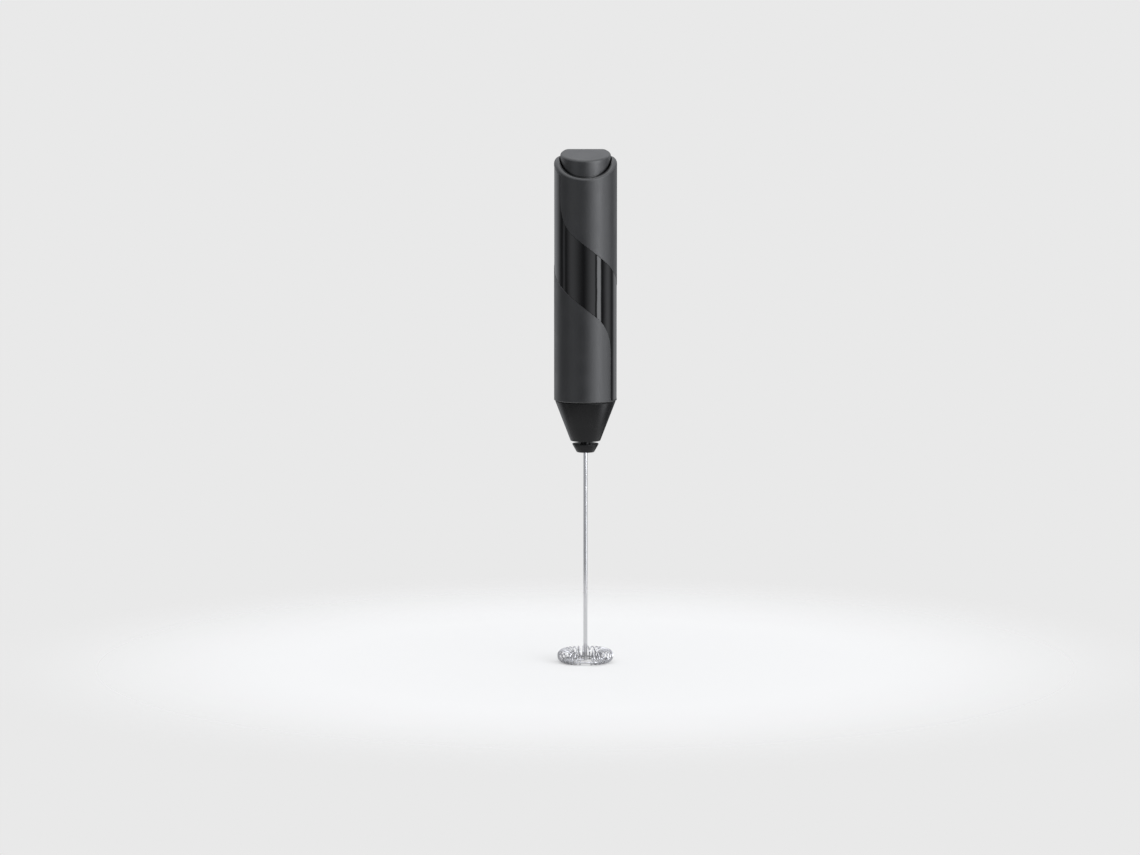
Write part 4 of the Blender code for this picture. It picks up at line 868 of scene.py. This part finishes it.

# %% [markdown]
# ### Wire along a route
#
# The second tree takes any line of points, smooths it and sweeps the wire along. It makes the whisk's hoop,
# the leg that joins the hoop to the shaft, and the two insulated leads inside the handle.


# %% The tree for wire along a route
def route_tree(sides, per_span):
    """A wire with this many sides that runs smoothly through a line of points."""
    tree, given = size_tree("wire_along_a_route", ["Wire radius"], source=True)
    curve = add(tree, "GeometryNodeMeshToCurve", {"Mesh": given["Geometry"]}).outputs["Curve"]
    curve = add(tree, "GeometryNodeCurveSplineType", {"Curve": curve}, spline_type="CATMULL_ROM")
    links = {"Geometry": curve.outputs["Curve"], "Resolution": per_span}
    curve = add(tree, "GeometryNodeSetSplineResolution", links).outputs["Geometry"]
    return end_with_wire(tree, given, curve, sides)


def line_mesh(name, points, closed=False):
    """A mesh of points joined one to the next."""
    mesh = bpy.data.meshes.new(name)
    count = len(points)
    links = [(i, (i + 1) % count) for i in range(count if closed else count - 1)]
    mesh.from_pydata([tuple(p) for p in points], links, [])
    return mesh


HOOP_WIRE_R = 0.4 * MM
HOOP_Z = 2 * COIL_WIRE_R + HOOP_WIRE_R + 0.15 * MM
LEG_TURN = 24.5
steel_route = route_tree(12, 6)


def round_points(radius, z, count):
    """Points evenly spaced on a level circle round the axis."""
    turns = [math.tau * k / count for k in range(count)]
    return [(radius * math.cos(turn), radius * math.sin(turn), z) for turn in turns]


ring = line_mesh("hoop", round_points(WHISK_RING_R, HOOP_Z, 24), closed=True)
hoop = grown("hoop", steel_route, whisk_wire, {"Wire radius": HOOP_WIRE_R}, ring)
low_side = math.asin((HOOP_Z - WHISK_TUBE_R) / (WHISK_TUBE_R - COIL_WIRE_R))
leg_turns = LEG_TURN - (math.pi / 2 + low_side) / math.tau
gap = COIL_OPENING / WHISK_RING_R
leg_angle = -math.pi / 2 + gap / 2 + (math.tau - gap) * leg_turns / COIL_TURNS
way = Vector((math.cos(leg_angle), math.sin(leg_angle), 0))
lift = Vector((0, 0, HOOP_Z))
ends = [lift + way * (SHAFT_R + FIT), lift + way * WHISK_RING_R * 0.5, lift + way * WHISK_RING_R]
leg = grown("leg", steel_route, whisk_wire, {"Wire radius": HOOP_WIRE_R * 0.95}, line_mesh("leg", ends))
combine(hoop, leg, "UNION")
hoop.data.set_sharp_from_angle(angle=math.radians(40))
stand_for(hoop, "spindle", "stainless", "whisk_hoop")

# %% [markdown]
# ## The shafts
#
# The whisk's shaft is a plain bright rod with a rounded foot, and the motor's shaft is a shorter one above
# it. Both are pressed into the collar's neck.

# %% The shafts
shaft_low, shaft_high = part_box("whisk_shaft")
outline = [(0, shaft_low.z), (SHAFT_R, shaft_low.z), (SHAFT_R, shaft_high.z), (0, shaft_high.z)]
outline = rounded(outline, 2, 0.2 * MM)
outline = rounded(outline, 1, 0.35 * MM)
stand_for(new_piece("shaft", lathe(outline, 48), stainless), "spindle", "stainless", "whisk_shaft")

drive_low, drive_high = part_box("motor_shaft")
outline = [(0, drive_low.z), (MOTOR_SHAFT_R, drive_low.z), (MOTOR_SHAFT_R, drive_high.z), (0, drive_high.z)]
outline = rounded(outline, 2, 0.2 * MM)
stand_for(new_piece("drive_shaft", lathe(outline, 48), stainless), "spindle", "stainless", "motor_shaft")

# %% [markdown]
# ## Inside the handle
#
# When the grip is pulled off, the cells, the motor and their contacts show. They are made with the same
# lathe and the same wire trees. The third tree is a helical spring, which may be conical, as the springs
# that press on cells are.


# %% The tree for a spring
def spring_tree():
    """A helical spring between two heights, each with its own radius."""
    sizes = ["Low", "High", "Low radius", "High radius", "Wire radius", "Turns", "Steps", "Off axis"]
    tree, given = size_tree("helical_spring", sizes)
    count = maths(tree, "MULTIPLY", given["Turns"], given["Steps"])
    line = add(tree, "GeometryNodeMeshLine", {"Count": maths(tree, "ADD", count, 1.0)})
    number = add(tree, "GeometryNodeInputIndex").outputs[0]
    share = maths(tree, "DIVIDE", number, count)
    angle = maths(tree, "MULTIPLY", maths(tree, "DIVIDE", number, given["Steps"]), math.tau)
    links = {"Value": share, "To Min": given["Low radius"], "To Max": given["High radius"]}
    radius = add(tree, "ShaderNodeMapRange", links).outputs["Result"]
    links = {"Value": share, "To Min": given["Low"], "To Max": given["High"]}
    height = add(tree, "ShaderNodeMapRange", links).outputs["Result"]
    arm = add(tree, "ShaderNodeCombineXYZ", {"X": radius, "Z": height}).outputs[0]
    links = {"Vector": arm, "Angle": angle}
    turned = add(tree, "ShaderNodeVectorRotate", links, rotation_type="Z_AXIS").outputs[0]
    aside = add(tree, "ShaderNodeCombineXYZ", {"X": given["Off axis"]}).outputs[0]
    moved = add(tree, "ShaderNodeVectorMath", {0: turned, 1: aside}, operation="ADD").outputs[0]
    links = {"Geometry": line.outputs["Mesh"], "Position": moved}
    placed = add(tree, "GeometryNodeSetPosition", links).outputs["Geometry"]
    curve = add(tree, "GeometryNodeMeshToCurve", {"Mesh": placed}).outputs["Curve"]
    return end_with_wire(tree, given, curve, 8)


# %% The three springs
spring_rule = spring_tree()
SPRING_WIRE_R = 0.3 * MM
WIDE, NARROW, BUTTON_SPRING_R = 3.4 * MM, 2.2 * MM, 3.6 * MM
cell_left_low, cell_left_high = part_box("cell_left")
cell_right_low, cell_right_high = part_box("cell_right")
CELL_X = (cell_right_low.x + cell_right_high.x) / 2
for node, body, slot, finish, low_r, high_r, turns, aside in (
    ("button_spring", "grip", "stainless", stainless, BUTTON_SPRING_R, BUTTON_SPRING_R, 5, 0.0),
    ("bridge_spring", "chassis", "nickel", nickel, WIDE, NARROW, 4, -CELL_X),
    ("negative_spring", "chassis", "nickel", nickel, NARROW, WIDE, 4, CELL_X),
):
    low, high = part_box(node)
    sizes = {
        "Low": low.z + SPRING_WIRE_R,
        "High": high.z - SPRING_WIRE_R,
        "Low radius": low_r,
        "High radius": high_r,
        "Wire radius": SPRING_WIRE_R,
        "Turns": turns,
        "Steps": 32,
        "Off axis": aside,
    }
    stand_for(grown(node + "_wire", spring_rule, finish, sizes), body, slot, node)

# %% [markdown]
# ### The cells
#
# A cell is turned with its raised contact up, and one of the two is turned over. Its bare metal ends are
# the faces inside the sleeve's rolled rim, so each face takes the nickel finish where it lies inside that
# rim.

# %% The two cells
CELL_R = 5.25 * MM
NUB_R = 1.9 * MM
NUB_HEIGHT = 1.0 * MM
SLEEVE_RIM = 0.9 * MM
SHOULDER = 10.0 * MM


def make_cell(name, node, low, high, x, nub_up):
    """One cell between two heights, with its raised contact up or down."""
    top = high - NUB_HEIGHT
    outline = [
        (0, low + 0.25 * MM),
        (CELL_R - SLEEVE_RIM - 0.4 * MM, low + 0.25 * MM),
        (CELL_R - SLEEVE_RIM, low),
        (CELL_R, low),
        (CELL_R, top),
        (CELL_R - SLEEVE_RIM, top),
        (CELL_R - SLEEVE_RIM, top - 0.2 * MM),
        (NUB_R, top - 0.2 * MM),
        (NUB_R, high),
        (0, high),
    ]
    outline = rounded(outline, 8, 0.25 * MM)
    outline = rounded(outline, 4, 0.4 * MM)
    outline = rounded(outline, 3, 0.4 * MM)
    if not nub_up:
        outline = [(radius, low + high - z) for radius, z in outline]
    border = top - SHOULDER if nub_up else low + NUB_HEIGHT + SHOULDER
    bm = lathe(outline, 96, at=(x, 0))
    cell = new_piece(name, bm, sleeve(name + "_sleeve", border, nub_up), nickel)
    for face in cell.data.polygons:
        if math.hypot(face.center.x - x, face.center.y) < CELL_R - SLEEVE_RIM + 0.05 * MM:
            face.material_index = 1
    stand_for(cell, "chassis", "cell_sleeve", node)


make_cell("left_cell", "cell_left", cell_left_low.z, cell_left_high.z, -CELL_X, True)
make_cell("right_cell", "cell_right", cell_right_low.z, cell_right_high.z, CELL_X, False)

# %% [markdown]
# ### The motor's case, its bearings and other turned pieces
#
# The motor's can is a drawn cup with two flats. Its front has a boss for the bearing. The end bell closes
# it and carries the other bearing.

# %% The motor's case and the small turned pieces
can_low, can_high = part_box("motor_can")
BOSS_HEIGHT = 1.6 * MM
CAN_Z = can_low.z + BOSS_HEIGHT
CAN_WALL = 0.8 * MM
CAN_FRONT = 1.0 * MM
MOTOR_R = can_high.x
MOTOR_FLAT = can_high.y
BOSS_R = 3.05 * MM
BUSH_R = 2.0 * MM
outline = [
    (BUSH_R + FIT, can_low.z),
    (BOSS_R, can_low.z),
    (BOSS_R, CAN_Z),
    (MOTOR_R, CAN_Z),
    (MOTOR_R, can_high.z),
    (MOTOR_R - CAN_WALL, can_high.z),
    (MOTOR_R - CAN_WALL, CAN_Z + CAN_FRONT),
    (BUSH_R + FIT, CAN_Z + CAN_FRONT),
]
outline = rounded(outline, 3, 0.9 * MM, 6)
can = new_piece("can", lathe(outline, 128, flat=MOTOR_FLAT), zinc)
stand_for(can, "chassis", "zinc_steel", "motor_can")

bell_low, bell_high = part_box("motor_endbell")
BELL_TOP_Z = bell_low.z + 2.0 * MM
BELL_BOSS_R = 3.2 * MM
outline = [
    (BUSH_R + FIT, bell_low.z),
    (MOTOR_R, bell_low.z),
    (MOTOR_R, BELL_TOP_Z),
    (BELL_BOSS_R, BELL_TOP_Z),
    (BELL_BOSS_R, bell_high.z),
    (BUSH_R + FIT, bell_high.z),
]
outline = rounded(outline, 4, 0.3 * MM)
outline = rounded(outline, 2, 0.4 * MM)
bell = new_piece("end_bell", lathe(outline, 128, flat=MOTOR_FLAT), endbell_plastic)
stand_for(bell, "chassis", "endbell_plastic", "motor_endbell")

for node, body, slot, finish, inner, corner in (
    ("motor_front_bush", "chassis", "bronze", bronze, MOTOR_SHAFT_R + FIT, 0.2 * MM),
    ("motor_rear_bush", "chassis", "bronze", bronze, MOTOR_SHAFT_R + FIT, 0.2 * MM),
    ("button_guide", "grip", "frame_plastic", frame_plastic, STEM_R + 0.2 * MM, 0.3 * MM),
    ("switch_plunger", "switch", "endbell_plastic", endbell_plastic, 0.0, 0.3 * MM),
    ("motor_commutator", "spindle", "copper", copper, MOTOR_SHAFT_R + FIT, 0.1 * MM),
):
    low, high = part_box(node)
    outline = [(inner, low.z), (high.x, low.z), (high.x, high.z), (inner, high.z)]
    outline = rounded(outline, 2, corner)
    outline = rounded(outline, 1, corner)
    stand_for(new_piece(node + "_turned", lathe(outline, 96), finish), body, slot, node)

# %% [markdown]
# ### The rubber ring on the spigot
#
# The ring is a plain torus that grips the barrel's bore. The route tree makes it from a circle of points.

# %% The rubber ring
seal_low, seal_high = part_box("nose_seal_ring")
SEAL_WIRE_R = 0.45 * MM
circle = line_mesh("rubber_ring", round_points(seal_high.x - SEAL_WIRE_R, SEAL_Z, 36), closed=True)
rubber_ring = grown("rubber_ring", steel_route, rubber, {"Wire radius": SEAL_WIRE_R}, circle)
stand_for(rubber_ring, "chassis", "rubber", "nose_seal_ring")

# %% [markdown]
# ### Four small screws
#
# One screw is modelled with its cross recess, and a tree puts a copy on each point of a tiny mesh, turned
# as the point's own attribute says. Two point into the motor's front, two go sideways through the spigot.


# %% One screw, and the tree that places it
def screw_pattern(name, head_r, head, shank_r, length, flat_top):
    """A screw along Z with its head's underside at the origin and its shank pointing down."""
    crown_z = head if flat_top else head * 0.75
    outline = [(0, -length), (shank_r * 0.5, -length + shank_r * 0.6), (shank_r, -length + shank_r * 1.2)]
    outline += [(shank_r, 0), (head_r, 0), (head_r, crown_z * 0.55), (head_r * 0.75, crown_z), (0, head)]
    screw = new_piece(name, lathe(outline, 40), zinc)
    for half_x, half_y in ((head_r * 0.6, head_r * 0.13), (head_r * 0.13, head_r * 0.6)):
        bar = bmesh.new()
        bmesh.ops.create_cube(bar, size=2.0)
        bmesh.ops.scale(bar, verts=bar.verts[:], vec=(half_x, half_y, head * 0.5))
        bmesh.ops.translate(bar, verts=bar.verts[:], vec=(0, 0, head * 0.95))
        combine(screw, new_piece("recess", bar, zinc), "DIFFERENCE")
    return screw


def screws_tree(screw):
    """A tree that puts the screw on each point of a mesh, turned as the point says."""
    tree, given = size_tree("screws_on_points", [], source=True)
    turn = add(tree, "GeometryNodeInputNamedAttribute", {"Name": "turn"}, data_type="FLOAT_VECTOR")
    spin = add(tree, "FunctionNodeEulerToRotation", {"Euler": turn.outputs["Attribute"]}).outputs["Rotation"]
    shape = add(tree, "GeometryNodeObjectInfo", {"Object": screw}).outputs["Geometry"]
    links = {"Points": given["Geometry"], "Instance": shape, "Rotation": spin}
    placed = add(tree, "GeometryNodeInstanceOnPoints", links).outputs["Instances"]
    real = add(tree, "GeometryNodeRealizeInstances", {"Geometry": placed}).outputs["Geometry"]
    coated = add(tree, "GeometryNodeSetMaterial", {"Geometry": real, "Material": given["Finish"]})
    add(tree, "NodeGroupOutput", {"Geometry": coated.outputs["Geometry"]})
    return tree


def screws(name, pattern, places, nodes):
    """Screws at (place, turn) pairs, standing for the frame's nodes."""
    dots = line_mesh(name, [place for place, turn in places])
    dots.attributes.new("turn", "FLOAT_VECTOR", "POINT")
    for entry, (place, turn) in zip(dots.attributes["turn"].data, places):
        entry.vector = turn
    piece = grown(name, screws_tree(pattern), zinc, {}, dots)
    bpy.data.objects.remove(pattern)
    stand_for(piece, "chassis", "zinc_steel", *nodes)


# %% The four screws
SCREW_HEAD_R = 1.9 * MM
SCREW_SHANK_R = 0.8 * MM
FLAT_HEAD = 0.7 * MM
PAN_HEAD = 1.1 * MM
nose_screw_low, nose_screw_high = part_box("nose_screw_back")
head_seat = nose_screw_high.y - FLAT_HEAD
length = head_seat - nose_screw_low.y
pattern = screw_pattern("nose_screw", SCREW_HEAD_R, FLAT_HEAD, SCREW_SHANK_R, length, True)
places = [((0, side * head_seat, NOSE_SCREW_Z), (-side * math.pi / 2, 0, 0)) for side in (-1, 1)]
screws("nose_screws", pattern, places, ("nose_screw_front", "nose_screw_back"))

motor_screw_low, motor_screw_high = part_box("motor_screw_right")
screw_x = (motor_screw_low.x + motor_screw_high.x) / 2
head_seat = motor_screw_low.z + PAN_HEAD
length = motor_screw_high.z - head_seat
pattern = screw_pattern("motor_screw", SCREW_HEAD_R, PAN_HEAD, SCREW_SHANK_R, length, False)
places = [((side * screw_x, 0, head_seat), (math.pi, 0, 0)) for side in (-1, 1)]
screws("motor_screws", pattern, places, ("motor_screw_left", "motor_screw_right"))

# %% [markdown]
# ### The two leads
#
# The leads are fixed wiring, tinned wire in PVC. Red runs from the switch and black from the negative
# contact, both over the frame's top edge and down a groove at its back to the motor.

# %% The leads
LEAD_R = 0.55 * MM
LEAD_X = 0.8 * MM
FRAME_R = frame_high.x
FRAME_TOP_Z = frame_high.z
LEAD_Y = FRAME_R - 1.4 * MM
cell_bay_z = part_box("bridge_contact")[0].z - 0.1 * MM
terminal_low, terminal_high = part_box("motor_terminal_right")
motor_bay_top = terminal_high.z + 0.5 * MM
blade_low, blade_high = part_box("switch_terminal_right")
case_low, case_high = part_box("switch_body")
tab_low, tab_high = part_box("negative_contact")
blade_top = blade_high.z + LEAD_R + 0.1 * MM
red_way = [
    (blade_high.x - LEAD_R, 0, blade_top),
    (case_high.x + 1.2 * MM, case_high.y + 1.2 * MM, blade_top + 1.0 * MM),
    (2.2 * MM, LEAD_Y - 2.5 * MM, blade_top + 0.6 * MM),
]
black_way = [
    (CELL_X, tab_high.y + LEAD_R + 0.1 * MM, tab_high.z - LEAD_R),
    (3.6 * MM, LEAD_Y - 2.3 * MM, tab_high.z - LEAD_R + 0.1 * MM),
]
lead_route = route_tree(16, 10)
for name, node, slot, way_in, side, finish in (
    ("red_lead", "lead_positive", "lead_red", red_way, -1, lead_red),
    ("black_lead", "lead_negative", "lead_black", black_way, 1, lead_black),
):
    x = side * LEAD_X
    end_x = side * (terminal_low.x - LEAD_R - 0.1 * MM)
    end_z = terminal_high.z - 1.3 * MM
    route = way_in + [
        (x, LEAD_Y, FRAME_TOP_Z + 0.6 * MM),
        (x, LEAD_Y, FRAME_TOP_Z - 3 * MM),
        (x, LEAD_Y, (cell_bay_z + FRAME_TOP_Z) / 2),
        (x, LEAD_Y, cell_bay_z + 2 * MM),
        (1.3 * x, LEAD_Y - 0.4 * MM, motor_bay_top - 0.2 * MM),
        (end_x * 0.55, LEAD_Y - 4.0 * MM, end_z),
        (end_x, 2.0 * MM, end_z),
        (end_x, -0.2 * MM, end_z),
    ]
    lead = grown(name, lead_route, finish, {"Wire radius": LEAD_R}, line_mesh(name, route))
    stand_for(lead, "chassis", slot, node)

# %% [markdown]
# ### Pieces with flat faces
#
# The frame, the contacts, the switch and the terminals keep the frame's own shape. A copy is merged, its
# flat areas are made whole again, and its corners get a small bevel, because no moulded or stamped corner
# is truly sharp, and it is the bevel that catches the light.


# %% Copies with softened corners
def softened(node, body, slot, finish, width):
    """A node's own shape with its corners bevelled by a width."""
    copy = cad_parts[node].data.copy()
    bm = bmesh.new()
    bm.from_mesh(copy)
    bmesh.ops.remove_doubles(bm, verts=bm.verts[:], dist=1e-6)
    bmesh.ops.dissolve_limit(bm, angle_limit=math.radians(1), verts=bm.verts[:], edges=bm.edges[:])
    piece = new_piece(node + "_shape", bm, finish)
    bevel = piece.modifiers.new("corners", "BEVEL")
    bevel.width = width
    bevel.segments = 2
    bevel.limit_method = "ANGLE"
    bevel.angle_limit = math.radians(40)
    settle(piece)
    stand_for(piece, body, slot, node)


for node, body, slot, finish, width in (
    ("inner_frame", "chassis", "frame_plastic", frame_plastic, 0.12 * MM),
    ("switch_body", "chassis", "switch_plastic", switch_plastic, 0.2 * MM),
    ("switch_terminal_left", "chassis", "nickel", nickel, 0.08 * MM),
    ("switch_terminal_right", "chassis", "nickel", nickel, 0.08 * MM),
    ("positive_contact", "chassis", "nickel", nickel, 0.06 * MM),
    ("negative_contact", "chassis", "nickel", nickel, 0.06 * MM),
    ("bridge_contact", "chassis", "nickel", nickel, 0.06 * MM),
    ("button_clip", "button", "zinc_steel", zinc, 0.1 * MM),
    ("motor_brush_left", "chassis", "copper", copper, 0.05 * MM),
    ("motor_brush_right", "chassis", "copper", copper, 0.05 * MM),
):
    softened(node, body, slot, finish, width)

# %% [markdown]
# ### Nodes that stay as they are
#
# The armature, the magnets and the motor's terminals are right as the frame has them. They only need their
# real materials, which go in their own material slots.

# %% Materials for the nodes that stay
kept = {
    "motor_armature": copper,
    "motor_magnet_left": ferrite,
    "motor_magnet_right": ferrite,
    "motor_terminal_left": nickel,
    "motor_terminal_right": nickel,
}
for node, finish in kept.items():
    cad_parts[node].data.materials.clear()
    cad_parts[node].data.materials.append(finish)
print("kept as they are:", ", ".join(kept))

# %% [markdown]
# ## Floor and light
#
# The floor is a pale disc that is solid only near the object. From there it fades away until just the pale
# surround is left, so it has no edge. A soft lamp overhead lights it.

# %% Floor and overhead lamp
FLOOR_R = 3.0
FADE_START, FADE_END = 0.12, 0.28
LAMP_WIDTH = 1.4
LAMP_HEIGHT = 1.8
LAMP_POWER = 5.0
bm = bmesh.new()
bmesh.ops.create_circle(bm, cap_ends=True, cap_tris=True, segments=96, radius=FLOOR_R)
floor = new_piece("floor", bm)
pale = bpy.data.materials.new("pale_floor")
pale.use_nodes = True
tree = pale.node_tree
shader = tree.nodes["Principled BSDF"]
shader.inputs["Base Color"].default_value = colour("#d6d5d3")
shader.inputs["Roughness"].default_value = 0.8
shader.inputs["Specular IOR Level"].default_value = 0.2
place = add(tree, "ShaderNodeTexCoord").outputs["Object"]
reach = add(tree, "ShaderNodeVectorMath", {0: place}, operation="LENGTH").outputs["Value"]
fade = eased(tree, reach, FADE_START, FADE_END, 1.0, 0.0)
clear = add(tree, "ShaderNodeBsdfTransparent").outputs[0]
mixed = add(tree, "ShaderNodeMixShader", {0: fade, 1: clear, 2: shader.outputs[0]}).outputs[0]
tree.links.new(mixed, tree.nodes["Material Output"].inputs["Surface"])
floor.data.materials.append(pale)

over = bpy.data.lights.new("overhead", "AREA")
over.shape = "DISK"
over.size = LAMP_WIDTH
over.energy = LAMP_POWER
overhead = bpy.data.objects.new("overhead", over)
overhead.location = (0, 0, LAMP_HEIGHT)
overhead.visible_camera = False
bpy.context.scene.collection.objects.link(overhead)

# %% [markdown]
# ### A ring of soft panels
#
# A dark glossy cylinder shows nothing but its surroundings: a panel at an angle to the camera shows on the
# barrel at half that angle, as an upright streak. So the lighting is drawn as a studio would set it up, as
# tall panels in a ring round the object, each with its own place, width and softness. They are part of the
# surround, far away, so that their streaks run straight down the whole barrel. A panel that hangs high shows
# only in the button's slope and the rim, and one that stands low only in the nose's. Over them all is a
# bright sky.
#
# The panels are bright only for the light that falls on the object; straight behind it the surround is plain
# and pale.

# %% Panels in the surround
PANELS = (
    # Azimuth in degrees where it starts, is full, stops being full and ends, with 0 behind the camera;
    # brightness; sines of the heights that its foot and its head reach.
    ("key strip", 41, 46, 56, 61, 3.9, -0.12, 2.0),
    ("key slope", -8, 32, 34, 39, 1.05, -0.12, 2.0),
    ("high key", 8, 34, 60, 84, 6.0, 0.14, 2.0),
    ("right panel", 64, 88, 89, 116, 0.80, -1.2, 2.0),
    ("low right", 58, 78, 88, 104, 2.0, -1.2, -0.2),
    ("back right", 116, 132, 134, 176, 0.75, -0.12, 2.0),
    ("left panel", -80, -52, -50, -6, 0.66, -0.12, 2.0),
    ("left edge", -96, -88, -86, -78, 0.35, -1.2, 2.0),
    ("back left", -176, -140, -128, -100, 0.75, -0.4, 2.0),
)
BASE = 0.14
SKY = 1.35
SKY_START, SKY_FULL = 0.22, 0.6
SOFT_END = 0.12

world = bpy.data.worlds.new("studio")
bpy.context.scene.world = world
world.use_nodes = True
tree = world.node_tree
seen = tree.nodes["Background"]
seen.inputs["Color"].default_value = colour("#e9e9e9")
way_out = add(tree, "ShaderNodeTexCoord").outputs["Generated"]
parts = add(tree, "ShaderNodeSeparateXYZ", {"Vector": way_out}).outputs
front = maths(tree, "MULTIPLY", parts["Y"], -1.0)
azimuth = maths(tree, "MULTIPLY", maths(tree, "ARCTAN2", parts["X"], front), 180 / math.pi)
light = BASE
for name, start, full, full_end, end, level, foot, head in PANELS:
    rise = eased(tree, azimuth, start, full, 0.0, level, label=name)
    fall = eased(tree, azimuth, full_end, end, 1.0, 0.0)
    above_foot = eased(tree, parts["Z"], foot - SOFT_END, foot, 0.0, 1.0)
    below_head = eased(tree, parts["Z"], head, head + SOFT_END, 1.0, 0.0)
    width = maths(tree, "MULTIPLY", rise, fall)
    height = maths(tree, "MULTIPLY", above_foot, below_head)
    light = maths(tree, "MULTIPLY_ADD", width, height, light)
high = eased(tree, parts["Z"], SKY_START, SKY_FULL, 0.0, 1.0)
links = {"Factor": high, "A": light, "B": SKY}
strength = add(tree, "ShaderNodeMix", links, data_type="FLOAT").outputs["Result"]
links = {"Color": colour("#f6f8fc"), "Strength": strength}
panels = add(tree, "ShaderNodeBackground", links).outputs[0]
path = add(tree, "ShaderNodeLightPath").outputs["Is Camera Ray"]
either = add(tree, "ShaderNodeMixShader", {0: path, 1: panels, 2: seen.outputs[0]}).outputs[0]
tree.links.new(either, tree.nodes["World Output"].inputs["Surface"])
print("panels in the ring:", ", ".join(panel[0] for panel in PANELS))

# %% Update the scene
bpy.context.view_layer.update()
